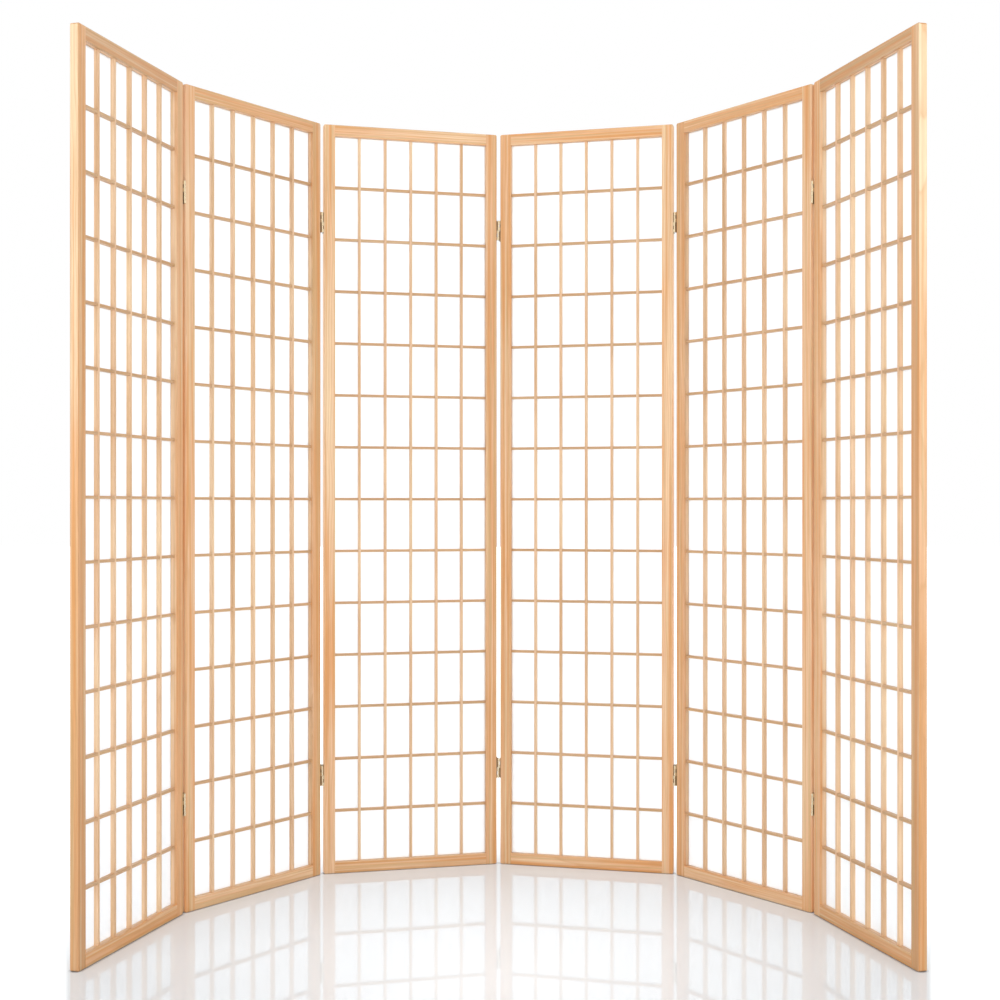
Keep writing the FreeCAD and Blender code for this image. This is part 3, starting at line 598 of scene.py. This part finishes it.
def bottom_rail(sizes):
    """The bottom rail with its rounded lower edges, its rebate and a tenon at each end."""
    face, thickness, width = sizes.member_face, sizes.panel_thickness, sizes.panel_width
    rail = block("bottom_rail", (face, 0, 0), (width - face, thickness, face))
    ease(rail, sizes.edge_radius, 3,
         lambda a, b: near(a.z, b.z, 0.0) and front_or_back(sizes, a, b))
    carve(rail, block("rebate_tool", (face - OVERSHOOT, sizes.lip_depth, face - sizes.rebate_width),
                      (width - face + OVERSHOOT, thickness + OVERSHOOT, face + OVERSHOOT)))
    ease(rail, ARRIS, 2, lambda a, b: near(a.z, b.z, face) and near(a.y, b.y, 0.0))
    unite(rail, block("tenons", (face - sizes.tenon_length, TENON_FRONT, TENON_LOW),
                      (width - face + sizes.tenon_length, TENON_FRONT + sizes.tenon_thickness,
                       TENON_LOW + sizes.tenon_height)))
    smooth(rail)
    return rail


def paint_side_highlight(sizes, stile, side):
    """Paints a highlight in the pale sapwood colour, paler towards the top, on the side face of a stile."""
    mesh = stile.data
    for grain, tone in zip(mesh.attributes["grain"].data, mesh.attributes["tone"].data):
        up, across, _ = grain.vector
        if near(across, side):
            tone.value += SIDE_HIGHLIGHT + SIDE_HIGHLIGHT_RISE * up / sizes.panel_height


class SCREEN_OT_stiles(bpy.types.Operator):
    """Models the stiles of all panels"""

    bl_idname = "screen.stiles"
    bl_label = "Stiles"

    def execute(self, context):
        sizes, wood = context.scene.screen_sizes, frame_pine(context.scene.screen_colours)
        left = left_stile(sizes)
        right = copy(left, "right_stile", half_turn(sizes))
        for board, (stile, side) in enumerate(((left, "left"), (right, "right"))):
            lay_grain(stile, True, lambda point: board)
            set_in_panels(sizes, stile, f"{side}_stile", f"{side}_stile", "pine", wood, STILE_TONES[side])
        paint_side_highlight(sizes, bpy.data.objects["panel_1.left_stile"], 0.0)
        paint_side_highlight(sizes, bpy.data.objects["panel_6.right_stile"], sizes.panel_width)
        discard(left, right)
        return {"FINISHED"}


class SCREEN_OT_rails(bpy.types.Operator):
    """Models the bottom and top rails of all panels"""

    bl_idname = "screen.rails"
    bl_label = "Rails"

    def execute(self, context):
        sizes, wood = context.scene.screen_sizes, frame_pine(context.scene.screen_colours)
        bottom = bottom_rail(sizes)
        top = copy(bottom, "top_rail", half_turn(sizes))
        for board, (rail, side) in enumerate(((bottom, "bottom"), (top, "top"))):
            lay_grain(rail, False, lambda point: board)
            set_in_panels(sizes, rail, f"{side}_rail", "rails", "pine", wood, RAIL_TONES)
        discard(bottom, top)
        return {"FINISHED"}


def lattice_grid(sizes):
    """Where the lattice's grid starts, and its pitch across and up. All its clear panes are alike."""
    start = sizes.member_face - sizes.bar_width / 2
    return (start, (sizes.panel_width - 2 * start) / sizes.column_count,
            (sizes.panel_height - 2 * start) / sizes.row_count)


def uprights(sizes):
    """The upright bars, whole at the front and half lapped from the back at each crossbar."""
    start, across, up = lattice_grid(sizes)
    front, back = sizes.lip_depth, sizes.lip_depth + sizes.bar_depth
    half, edge = sizes.bar_width / 2, sizes.member_face - sizes.border_setback
    middle = start + across
    bar = block("uprights", (middle - half, front, edge), (middle + half, back, sizes.panel_height - edge))
    notch = block("notch_tool", (middle - OVERSHOOT, (front + back) / 2, start + up - half),
                  (middle + OVERSHOOT, back + OVERSHOOT, start + up + half))
    repeat(notch, sizes.row_count - 1, (0, 0, up))
    carve(bar, notch)
    ease(bar, BAR_ARRIS, 2, lambda a, b: near(a.y, b.y, front) and near(a.x, b.x))
    smooth(bar)
    repeat(bar, sizes.column_count - 1, (across, 0, 0))
    return bar


def crossbars(sizes):
    """The crossbars, half lapped from the front at each upright."""
    start, across, up = lattice_grid(sizes)
    front, back = sizes.lip_depth, sizes.lip_depth + sizes.bar_depth
    half, edge = sizes.bar_width / 2, sizes.member_face - sizes.border_setback
    middle = start + up
    bar = block("crossbars", (edge, front, middle - half), (sizes.panel_width - edge, back, middle + half))
    notch = block("notch_tool", (start + across - half, front - OVERSHOOT, middle - OVERSHOOT),
                  (start + across + half, (front + back) / 2, middle + OVERSHOOT))
    repeat(notch, sizes.column_count - 1, (across, 0, 0))
    carve(bar, notch)
    ease(bar, BAR_ARRIS, 2, lambda a, b: near(a.y, b.y, front) and near(a.z, b.z))
    smooth(bar)
    repeat(bar, sizes.row_count - 1, (0, 0, up))
    return bar


def seat_start(sizes):
    """Where the lattice, its border, the paper and the beads start in the rebate, from the panel's edges."""
    return sizes.member_face - sizes.rebate_width + sizes.lattice_clearance


def set_strips(sizes, part, node, wood, front, back, edge):
    """Sets four strips in each panel as one piece: they line the rebate from front to back, up to an edge."""
    low, turn = seat_start(sizes), half_turn(sizes)
    side = block(f"{part}_side", (low, front, low), (edge, back, sizes.panel_height - low))
    foot = block(f"{part}_foot", (edge, front, low), (sizes.panel_width - edge, back, edge))
    for strip in (side, foot):
        modify(strip, "BEVEL", width=ARRIS, segments=2)
        smooth(strip)
    strips = [side, foot, copy(side, "right_strip", turn), copy(foot, "top_strip", turn)]
    for board, (strip, upright) in enumerate(zip(strips, (True, False, True, False))):
        lay_grain(strip, upright, lambda point: board)
    lining = join(part, strips)
    set_in_panels(sizes, lining, part, node, "pine_lattice", wood)
    discard(lining)


class SCREEN_OT_lattice(bpy.types.Operator):
    """Models the bars and border strips of the lattices"""

    bl_idname = "screen.lattice"
    bl_label = "Lattices"

    def execute(self, context):
        sizes, wood = context.scene.screen_sizes, bar_pine(context.scene.screen_colours)
        start, across, up = lattice_grid(sizes)
        bars = uprights(sizes)
        lay_grain(bars, True, lambda point: round((point.x - start) / across))
        set_in_panels(sizes, bars, "uprights", "lattice", "pine_lattice", wood)
        discard(bars)
        bars = crossbars(sizes)
        lay_grain(bars, False, lambda point: round((point.z - start) / up))
        set_in_panels(sizes, bars, "crossbars", "lattice", "pine_lattice", wood, CROSSBAR_TONES)
        discard(bars)
        set_strips(sizes, "border", "lattice", wood, sizes.lip_depth, sizes.lip_depth + sizes.bar_depth,
                   sizes.member_face - sizes.border_setback)
        return {"FINISHED"}


class SCREEN_OT_beads(bpy.types.Operator):
    """Models the beads behind the paper"""

    bl_idname = "screen.beads"
    bl_label = "Beads"

    def execute(self, context):
        sizes, wood = context.scene.screen_sizes, bar_pine(context.scene.screen_colours)
        set_strips(sizes, "beads", "beads", wood, sizes.lip_depth + sizes.bar_depth + sizes.paper_thickness,
                   sizes.panel_thickness, sizes.member_face)
        return {"FINISHED"}


# The paper's grid has this many squares across and up a pane.
PANE_STEPS = 4
# How far the paper sinks back inside a pane, and how much further along the pane's two middle lines
PANE_HOLLOW, UPRIGHT_HOLLOW, LEVEL_HOLLOW = 0.00022, 0.0001, 0.00006


class SCREEN_OT_paper(bpy.types.Operator):
    """Models the paper sheets, each drawn taut over its lattice with a slight hollow in every pane"""

    bl_idname = "screen.paper"
    bl_label = "Paper"

    def execute(self, context):
        sizes = context.scene.screen_sizes
        start, across, up = lattice_grid(sizes)
        width, height = sizes.panel_width - 2 * start, sizes.panel_height - 2 * start
        last_x, last_z = PANE_STEPS * sizes.column_count, PANE_STEPS * sizes.row_count
        bpy.ops.object.select_all(action="DESELECT")
        bpy.ops.mesh.primitive_grid_add(
            x_subdivisions=last_x, y_subdivisions=last_z, size=1,
            location=(start + width / 2, sizes.lip_depth + sizes.bar_depth, start + height / 2),
            rotation=(pi / 2, 0, 0))
        sheet = bpy.context.object
        sheet.scale = (width, height, 1)
        apply_place(sheet)

        def shift(test, offset):
            """Moves the points whose steps across and up the grid pass the test."""
            bpy.ops.object.mode_set(mode="EDIT")
            bpy.ops.mesh.select_mode(type="VERT")
            bpy.ops.mesh.select_all(action="DESELECT")
            mesh = bmesh.from_edit_mesh(sheet.data)
            for point in mesh.verts:
                if test(round(PANE_STEPS * (point.co.x - start) / across),
                        round(PANE_STEPS * (point.co.z - start) / up)):
                    point.select_set(True)
            bmesh.update_edit_mesh(sheet.data)
            bpy.ops.transform.translate(value=offset)
            bpy.ops.object.mode_set(mode="OBJECT")

        use(sheet)
        steps, middle, spread = PANE_STEPS, PANE_STEPS // 2, start - seat_start(sizes)
        shift(lambda i, j: i % steps and j % steps, (0, PANE_HOLLOW, 0))
        shift(lambda i, j: i % steps == middle and j % steps, (0, UPRIGHT_HOLLOW, 0))
        shift(lambda i, j: i % steps and j % steps == middle, (0, LEVEL_HOLLOW, 0))
        # The outermost points reach on to the sheet's real edges.
        shift(lambda i, j: i <= 0, (-spread, 0, 0))
        shift(lambda i, j: i >= last_x, (spread, 0, 0))
        shift(lambda i, j: j <= 0, (0, 0, -spread))
        shift(lambda i, j: j >= last_z, (0, 0, spread))
        modify(sheet, "SOLIDIFY", thickness=sizes.paper_thickness, offset=-1)
        use(sheet)
        bpy.ops.object.shade_smooth_by_angle(angle=SMOOTH_ANGLE)
        for panel, place in enumerate(panel_places(sizes), 1):
            piece = copy(sheet, f"panel_{panel}.paper", place)
            settle(piece, f"panel_{panel}", "paper", fibre_paper(context.scene.screen_colours),
                   f"panel_{panel}_paper")
        discard(sheet)
        return {"FINISHED"}


# Hinges, each modelled in its own frame: from the middle of the gap at the front face, halfway up the
# hinge, with the leaf of the panel nearer the screen's middle on the left

# The knuckles stand at six levels. A leaf has them at four, and the links at the other two.
LEVELS = 6
FRONT_LEVELS = (0, 2)
BACK_LEVELS = (3, 5)
KNUCKLE_GAP = 0.0002
LEAF_INSET = 0.001
# Play of a pin in its bore and of a screw in its hole, and of a link's plate beside the leaves' barrels
PIN_PLAY, SCREW_PLAY, LINK_PLAY = 0.00005, 0.00005, 0.0005
# How far a pin stays inside its knuckles, and the rounding of its ends
PIN_END, PIN_ROUNDING = 0.0001, 0.0003
# How far the edges of pressed metal and of a screw are broken
METAL_ARRIS, SCREW_ARRIS = 0.00012, 0.00008
# The screws' heights from the hinge's middle, their slots, and their shanks and tips below the head
SCREW_HEIGHTS = (-0.012, 0.012)
SLOT_HALF_WIDTH, SLOT_DEPTH = 0.00035, 0.0005
SHANK_RADIUS, SHANK_LENGTH, TIP_RADIUS, TIP_LENGTH = 0.0016, 0.011, 0.0004, 0.003
# No two slots stop at quite the same angle.
SLOT_TURN = 2.4
# The painted shade inside a hinge is full from this deep behind the panel's faces.
RECESS_DEPTH = 0.0009


def level_foot(sizes, level):
    """The foot of the knuckle at a level, counted from the hinge's foot."""
    return -sizes.hinge_height / 2 + level * sizes.hinge_height / LEVELS + KNUCKLE_GAP / 2


def knuckle_length(sizes):
    """The length of a knuckle, which leaves a gap to the next."""
    return sizes.hinge_height / LEVELS - KNUCKLE_GAP


def axes(sizes):
    """The depth of the front and the back pin."""
    return -sizes.pin_standoff, sizes.panel_thickness + sizes.pin_standoff


def pin(sizes, axis, first, last):
    """A pin through neighbouring levels, with its ends rounded over."""
    foot = level_foot(sizes, first) + PIN_END
    top = level_foot(sizes, last) + knuckle_length(sizes) - PIN_END
    made = rod("pin", sizes.pin_radius, foot, top, 0, axis)
    break_edges(made, PIN_ROUNDING, segments=2, angle=50)
    return made


def bore(sizes, axis):
    """A tool for the hole that a pin turns in."""
    return rod("bore_tool", sizes.pin_radius + PIN_PLAY, -sizes.hinge_height, sizes.hinge_height, 0, axis)


def mark_recess(sizes, piece):
    """Marks how far each point of a hinge piece lies inside the hinge, from 0 at the faces to 1. The brass
    is painted darker by this much, as shade.
    """
    piece.data.attributes.new("recess", "FLOAT", "POINT")
    recess = piece.data.attributes["recess"].data
    for item, vertex in zip(recess, piece.data.vertices):
        inside = min(vertex.co.y, sizes.panel_thickness - vertex.co.y)
        item.value = min(max(inside / RECESS_DEPTH, 0.0), 1.0)
    return piece


def leaf(sizes):
    """The inner leaf: front knuckles below, back knuckles above, and two countersunk holes."""
    reach, thick = sizes.gap / 2, sizes.leaf_thickness
    front, back = axes(sizes)
    plate_back = sizes.panel_thickness - LEAF_INSET
    plate = block("leaf", (-reach, LEAF_INSET, -sizes.hinge_height / 2),
                  (-reach + thick, plate_back, sizes.hinge_height / 2))
    rows = ((front, FRONT_LEVELS, (front, LEAF_INSET)), (back, BACK_LEVELS, (plate_back, back)))
    for axis, levels, (tab_front, tab_back) in rows:
        for level in levels:
            foot = level_foot(sizes, level)
            top = foot + knuckle_length(sizes)
            unite(plate,
                  block("tab", (-reach, tab_front, foot), (-reach + thick, tab_back, top)),
                  block("arm", (-reach, axis - thick / 2, foot), (0, axis + thick / 2, top)),
                  rod("barrel", sizes.barrel_radius, foot, top, 0, axis))
    carve(plate, bore(sizes, front), bore(sizes, back))
    for height in SCREW_HEIGHTS:
        sink = screw_blank(sizes, sizes.screw_head_radius + SCREW_PLAY)
        sink.matrix_world = screw_place(sizes, height, 0)
        apply_place(sink)
        carve(plate, sink)
    break_edges(plate, METAL_ARRIS)
    return mark_recess(sizes, plate)


def link(sizes):
    """The link of the lower half: a plate with a barrel at the front and one at the back."""
    half = sizes.leaf_thickness / 2
    front, back = axes(sizes)
    reach = sizes.barrel_radius + LINK_PLAY
    foot = level_foot(sizes, 1)
    top = foot + knuckle_length(sizes)
    made = block("link", (-half, front + reach, level_foot(sizes, 0)), (half, back - reach, -KNUCKLE_GAP / 2))
    unite(made, block("arm", (-half, front, foot), (half, back, top)),
          rod("barrel", sizes.barrel_radius, foot, top, 0, front),
          rod("barrel", sizes.barrel_radius, foot, top, 0, back))
    carve(made, bore(sizes, front), bore(sizes, back))
    break_edges(made, METAL_ARRIS)
    return mark_recess(sizes, made)


def screw_blank(sizes, radius):
    """A countersunk head on its shank, extruded ring by ring from a disc and pointing down."""
    bpy.ops.object.select_all(action="DESELECT")
    bpy.ops.mesh.primitive_circle_add(vertices=24, radius=radius, fill_type="NGON")
    blank = bpy.context.object
    blank.name = "screw"
    bpy.ops.object.mode_set(mode="EDIT")
    size, depth = radius, 0.0
    for drop, shrunk in ((sizes.leaf_thickness, SHANK_RADIUS), (SHANK_LENGTH, SHANK_RADIUS),
                         (TIP_LENGTH, TIP_RADIUS)):
        depth += drop
        bpy.ops.mesh.extrude_region_move(TRANSFORM_OT_translate={"value": (0, 0, -drop)})
        bpy.ops.transform.resize(value=(shrunk / size, shrunk / size, 1), center_override=(0, 0, -depth))
        size = shrunk
    bpy.ops.object.mode_set(mode="OBJECT")
    outward(blank)
    return blank


def screw_place(sizes, height, turn):
    """A screw's place in the inner leaf, its slot turned by an angle."""
    return (Matrix.Translation((-sizes.gap / 2 + sizes.leaf_thickness, sizes.panel_thickness / 2, height))
            @ Matrix.Rotation(pi / 2, 4, "Y") @ Matrix.Rotation(turn, 4, "Z"))


def screw(sizes):
    """A slotted countersunk screw."""
    made = screw_blank(sizes, sizes.screw_head_radius)
    carve(made, block("slot_tool", (-OVERSHOOT, -SLOT_HALF_WIDTH, -SLOT_DEPTH),
                      (OVERSHOOT, SLOT_HALF_WIDTH, OVERSHOOT)))
    break_edges(made, SCREW_ARRIS)
    return made


# Each joint's name, its panel nearer the screen's middle, and its outer panel
JOINTS = (("12", 2, 1), ("23", 3, 2), ("34", 3, 4), ("45", 4, 5), ("56", 5, 6))


def hinge_places(sizes, panel, other):
    """The places of the lower and upper hinge between two panels, as they ride on the first of them."""
    edge = sizes.panel_width + sizes.gap / 2 if other > panel else -sizes.gap / 2
    panel_place = panel_places(sizes)[panel - 1]
    # The left half of the screen is the mirror image of the right half.
    side = Matrix.Diagonal((-1, 1, 1, 1)) if max(panel, other) <= PANEL_COUNT // 2 else Matrix()
    return [panel_place @ Matrix.Translation((edge, 0, height)) @ side
            for height in (sizes.hinge_end_distance, sizes.panel_height - sizes.hinge_end_distance)]


def outer_turn(sizes):
    """Turns the inner leaf into the outer one, about the middle of the gap."""
    middle = Matrix.Translation((0, sizes.panel_thickness / 2, 0))
    return middle @ Matrix.Rotation(pi, 4, "Z") @ middle.inverted()


class SCREEN_OT_hinge_leaves(bpy.types.Operator):
    """Models the hinge leaves, with the pin stubs of the outer leaves"""

    bl_idname = "screen.hinge_leaves"
    bl_label = "Hinge leaves"

    def execute(self, context):
        sizes = context.scene.screen_sizes
        front, _ = axes(sizes)
        inner_leaf = leaf(sizes)
        stubs = [pin(sizes, front, 3, 3), pin(sizes, front, 5, 5)]
        outer_leaf = join("outer_leaf", [copy(inner_leaf, "outer_leaf", outer_turn(sizes)), *stubs])
        leaves = {panel: [] for panel in range(1, PANEL_COUNT + 1)}
        for _, inner, outer in JOINTS:
            for panel, other, master in ((inner, outer, inner_leaf), (outer, inner, outer_leaf)):
                leaves[panel] += [copy(master, "leaf", place) for place in hinge_places(sizes, panel, other)]
        for panel, pieces in leaves.items():
            settle(join(f"panel_{panel}.hinge_leaves", pieces), f"panel_{panel}", "brass",
                   plated_brass(context.scene.screen_colours), f"panel_{panel}_hinge_leaves")
        discard(inner_leaf, outer_leaf)
        return {"FINISHED"}


class SCREEN_OT_hinge_screws(bpy.types.Operator):
    """Models the slotted screws of the hinges"""

    bl_idname = "screen.hinge_screws"
    bl_label = "Hinge screws"

    def execute(self, context):
        sizes = context.scene.screen_sizes
        master = screw(sizes)
        screws = {panel: [] for panel in range(1, PANEL_COUNT + 1)}
        for _, inner, outer in JOINTS:
            for panel, other, turned in ((inner, outer, Matrix()), (outer, inner, outer_turn(sizes))):
                for place in hinge_places(sizes, panel, other):
                    for height in SCREW_HEIGHTS:
                        turn = SLOT_TURN * len(screws[panel]) + panel
                        screws[panel].append(
                            copy(master, "screw", place @ turned @ screw_place(sizes, height, turn)))
        for panel, pieces in screws.items():
            settle(join(f"panel_{panel}.hinge_screws", pieces), f"panel_{panel}", "brass_screws",
                   brass_screw(context.scene.screen_colours), f"panel_{panel}_hinge_screws")
        discard(master)
        return {"FINISHED"}


class SCREEN_OT_hinge_links(bpy.types.Operator):
    """Models the links that cross between the leaves, with their pins"""

    bl_idname = "screen.hinge_links"
    bl_label = "Hinge links"

    def execute(self, context):
        sizes, metal = context.scene.screen_sizes, plated_brass(context.scene.screen_colours)
        front, back = axes(sizes)
        plain = link(sizes)
        raised = copy(plain, "keeper", Matrix.Translation((0, 0, sizes.hinge_height / 2)))
        swing = join("swing", [plain, pin(sizes, front, 0, 2), pin(sizes, back, 0, 2)])
        keeper = join("keeper", [raised, pin(sizes, front, 4, 4), pin(sizes, back, 3, 5)])
        for joint, inner, outer in JOINTS:
            swings = [copy(swing, "swing", place) for place in hinge_places(sizes, outer, inner)]
            settle(join(f"hinge_{joint}.swing_links", swings), f"link_{joint}", "brass", metal,
                   f"hinge_{joint}_links")
            keepers = [copy(keeper, "keeper", place) for place in hinge_places(sizes, inner, outer)]
            settle(join(f"hinge_{joint}.keeper_links", keepers), f"panel_{inner}", "brass", metal,
                   f"hinge_{joint}_keepers")
        discard(swing, keeper)
        return {"FINISHED"}


# Studio

FLOOR_SIZE = 60
# The photograph's width and the camera's focal length, in its pixels
PHOTO_WIDTH, FOCAL_LENGTH = 1000, 1524
SENSOR_WIDTH = 36.0
CAMERA_PLACE = (0, -3.318, 0.877)
CAMERA_SHIFT = (0.0015, 0.0066)
# Each lamp's name, its place, the point that it faces, its width and height in metres, and its power in watts
LAMPS = (
    # Two lamps that cross leave the panels' side faces dark in the gaps.
    ("left_front_softbox", (-3.6, -3.6, 2.2), (0, 0.1, 1.0), 2.4, 2.4, 74),
    ("right_front_softbox", (3.6, -3.6, 2.2), (0, 0.1, 1.0), 2.4, 2.4, 74),
    ("low_front_softbox", (0, -4.4, 0.8), (0, 0.1, 0.4), 2.4, 1.0, 50),
    ("back_softbox", (0, 4.6, 1.2), (0, 0, 0.9), 5.0, 2.2, 62),
    # These light the outer panels' paper from behind, and stand too far back to shine into the gaps.
    ("left_back_softbox", (-3.6, 2.6, 1.2), (-0.75, -0.1, 0.9), 3.0, 2.2, 94),
    ("right_back_softbox", (3.6, 2.6, 1.2), (0.75, -0.1, 0.9), 3.0, 2.2, 94))
# The floor's glow to the camera everywhere, and what comes on top of it at the middle of the arc's mouth,
# far from there, and where the floor is white
PLAIN_GLOW, MOUTH_GLOW, FAR_GLOW, WHITE_GLOW = 0.275, 0.27, 0.055, 0.7
MOUTH = (0.0, -0.5, 0.0)
# Behind a panel the floor fades to white over this distance.
WHITE_FADE = 0.4
# The off-white area's half width level with the middle of the screen, how much narrower each side gets for
# each metre to the front or back, and how soft its edge is
MOUTH_HALF_WIDTH, MOUTH_TAPER, MOUTH_EDGE = 0.935, 0.2824, 0.02


def soft_lamp(name, place, target, width, height, power):
    """A large rectangular lamp that faces a point."""
    lamp = bpy.data.lights.new(name, "AREA")
    lamp.shape = "RECTANGLE"
    lamp.size, lamp.size_y, lamp.energy = width, height, power
    made = bpy.data.objects.new(name, lamp)
    made.location = place
    made.rotation_euler = (Vector(target) - Vector(place)).to_track_quat("-Z", "Y").to_euler()
    made.visible_camera = False
    made.visible_glossy = False
    bpy.context.collection.objects.link(made)


def floor_paint(sizes, colours):
    """Gloss paint on a pale studio floor, which mirrors the screen faintly and holds a soft shadow. To the
    camera it is a shade off white in front of all panels, and white behind any of them."""
    material, tree = new_material("studio_floor_gloss_paint")
    place = add(tree, "ShaderNodeTexCoord").outputs["Object"]
    reach = add(tree, "ShaderNodeVectorMath", {0: place, 1: MOUTH}, operation="DISTANCE").outputs["Value"]
    glow = add(tree, "ShaderNodeMapRange", {0: reach, 1: 0.05, 2: 0.8, 3: MOUTH_GLOW, 4: FAR_GLOW}).outputs[0]
    for panel in panel_places(sizes):
        backwards = panel.to_3x3() @ Vector((0, 1, 0))
        depth = add(tree, "ShaderNodeVectorMath", {0: place, 1: backwards},
                    operation="DOT_PRODUCT").outputs["Value"]
        face = backwards.dot(panel.translation)
        behind = add(tree, "ShaderNodeMapRange",
                     {0: depth, 1: face, 2: face + WHITE_FADE, 3: 0.0, 4: WHITE_GLOW}).outputs[0]
        glow = add(tree, "ShaderNodeMath", {0: glow, 1: behind}, operation="MAXIMUM").outputs[0]
    # It is white too beside the mouth of the arc.
    half = add(tree, "ShaderNodeVectorMath", {0: place}, operation="ABSOLUTE").outputs[0]
    spread = add(tree, "ShaderNodeVectorMath", {0: half, 1: (1.0, MOUTH_TAPER, 0.0)},
                 operation="DOT_PRODUCT").outputs["Value"]
    beside = add(tree, "ShaderNodeMapRange", {
        0: spread, 1: MOUTH_HALF_WIDTH, 2: MOUTH_HALF_WIDTH + MOUTH_EDGE, 3: 0.0, 4: WHITE_GLOW}).outputs[0]
    glow = add(tree, "ShaderNodeMath", {0: glow, 1: beside}, operation="MAXIMUM").outputs[0]
    # A painted contact shadow: ambient occlusion darkens the floor to a line a few millimetres wide at the
    # joint between wood and floor.
    corner = add(tree, "ShaderNodeAmbientOcclusion", {"Distance": 0.012}, samples=8).outputs["AO"]
    painted_contact_shade = add(tree, "ShaderNodeMapRange", {0: corner, 1: 0.5, 2: 0.85, 3: 0.3, 4: 1.0}).outputs[0]
    # The camera sees the shadows at about half strength, as in a brightened photograph.
    seen = add(tree, "ShaderNodeLightPath").outputs["Is Camera Ray"]
    share = add(tree, "ShaderNodeMapRange", {0: seen, 3: 1.0, 4: 0.5}).outputs[0]
    share = add(tree, "ShaderNodeMath", {0: share, 1: painted_contact_shade}, operation="MULTIPLY").outputs[0]
    shade = add(tree, "ShaderNodeVectorMath", {0: tuple(colours.floor), 3: share},
                operation="SCALE").outputs[0]
    paint = add(tree, "ShaderNodeBsdfPrincipled", {
        "Base Color": shade, "Roughness": 0.015, "IOR": 1.45}).outputs[0]
    glow = add(tree, "ShaderNodeMath", {0: glow, 1: PLAIN_GLOW}, operation="ADD").outputs[0]
    strength = add(tree, "ShaderNodeMath", {0: glow, 1: painted_contact_shade}, operation="MULTIPLY").outputs[0]
    strength = add(tree, "ShaderNodeMath", {0: strength, 1: seen}, operation="MULTIPLY").outputs[0]
    light = add(tree, "ShaderNodeEmission", {"Color": (1, 1, 1, 1), "Strength": strength}).outputs[0]
    surface = add(tree, "ShaderNodeAddShader", {0: paint, 1: light}).outputs[0]
    add(tree, "ShaderNodeOutputMaterial", {"Surface": surface})
    return material


def white_studio():
    """White surroundings for the camera and in reflections, which light the screen at half that level."""
    world = bpy.data.worlds.new("white_studio")
    world.use_nodes = True
    tree = world.node_tree
    tree.nodes.clear()
    rays = add(tree, "ShaderNodeLightPath").outputs
    seen = add(tree, "ShaderNodeMath", {0: rays["Is Camera Ray"], 1: rays["Is Glossy Ray"]},
               operation="MAXIMUM").outputs[0]
    seen = add(tree, "ShaderNodeMath", {0: seen, 1: rays["Is Transmission Ray"]},
               operation="MAXIMUM").outputs[0]
    level = add(tree, "ShaderNodeMapRange", {0: seen, 3: 0.5, 4: 1.0}).outputs[0]
    sky = add(tree, "ShaderNodeBackground", {"Color": (1, 1, 1, 1), "Strength": level})
    add(tree, "ShaderNodeOutputWorld", {"Surface": sky.outputs[0]})
    return world


class SCREEN_OT_studio(bpy.types.Operator):
    """Adds the floor, the lamps, the white surroundings and the camera"""

    bl_idname = "screen.studio"
    bl_label = "Studio"

    def execute(self, context):
        scene = context.scene
        bpy.ops.object.select_all(action="DESELECT")
        bpy.ops.mesh.primitive_plane_add(size=FLOOR_SIZE, location=(0, 0, 0))
        floor = bpy.context.object
        floor.name = "floor"
        floor.data.materials.append(floor_paint(scene.screen_sizes, scene.screen_colours))
        scene.world = white_studio()
        for lamp in LAMPS:
            soft_lamp(*lamp)

        camera = bpy.data.cameras.new("camera")
        camera.sensor_width = SENSOR_WIDTH
        camera.lens = FOCAL_LENGTH / PHOTO_WIDTH * SENSOR_WIDTH
        camera.shift_x, camera.shift_y = CAMERA_SHIFT
        seat = bpy.data.objects.new("camera", camera)
        seat.location = CAMERA_PLACE
        seat.rotation_euler = (pi / 2, 0, 0)
        bpy.context.collection.objects.link(seat)
        scene.camera = seat
        scene.view_settings.view_transform = "Standard"
        return {"FINISHED"}


class SCREEN_PT_pieces(bpy.types.Panel):
    """Lists the screen's pieces, sizes and colours"""

    bl_idname = "SCREEN_PT_pieces"
    bl_label = "Folding screen"
    bl_space_type = "VIEW_3D"
    bl_region_type = "UI"
    bl_category = "Screen"

    def draw(self, context):
        for operator in OPERATORS:
            self.layout.operator(operator.bl_idname)
        for settings in (context.scene.screen_sizes, context.scene.screen_colours):
            box = self.layout.box()
            for name in settings.__annotations__:
                box.prop(settings, name)


OPERATORS = (SCREEN_OT_stiles, SCREEN_OT_rails, SCREEN_OT_lattice, SCREEN_OT_paper, SCREEN_OT_beads,
             SCREEN_OT_hinge_leaves, SCREEN_OT_hinge_links, SCREEN_OT_hinge_screws, SCREEN_OT_studio)
CLASSES = (ScreenSizes, ScreenColours, *OPERATORS, SCREEN_PT_pieces)


def register():
    for item in CLASSES:
        bpy.utils.register_class(item)
    bpy.types.Scene.screen_sizes = PointerProperty(type=ScreenSizes)
    bpy.types.Scene.screen_colours = PointerProperty(type=ScreenColours)


def unregister():
    del bpy.types.Scene.screen_colours
    del bpy.types.Scene.screen_sizes
    for item in reversed(CLASSES):
        bpy.utils.unregister_class(item)


def main():
    register()
    bpy.ops.screen.stiles()
    bpy.ops.screen.rails()
    bpy.ops.screen.lattice()
    bpy.ops.screen.paper()
    bpy.ops.screen.beads()
    bpy.ops.screen.hinge_leaves()
    bpy.ops.screen.hinge_links()
    bpy.ops.screen.hinge_screws()
    bpy.ops.screen.studio()


if __name__ == "__main__":
    main()
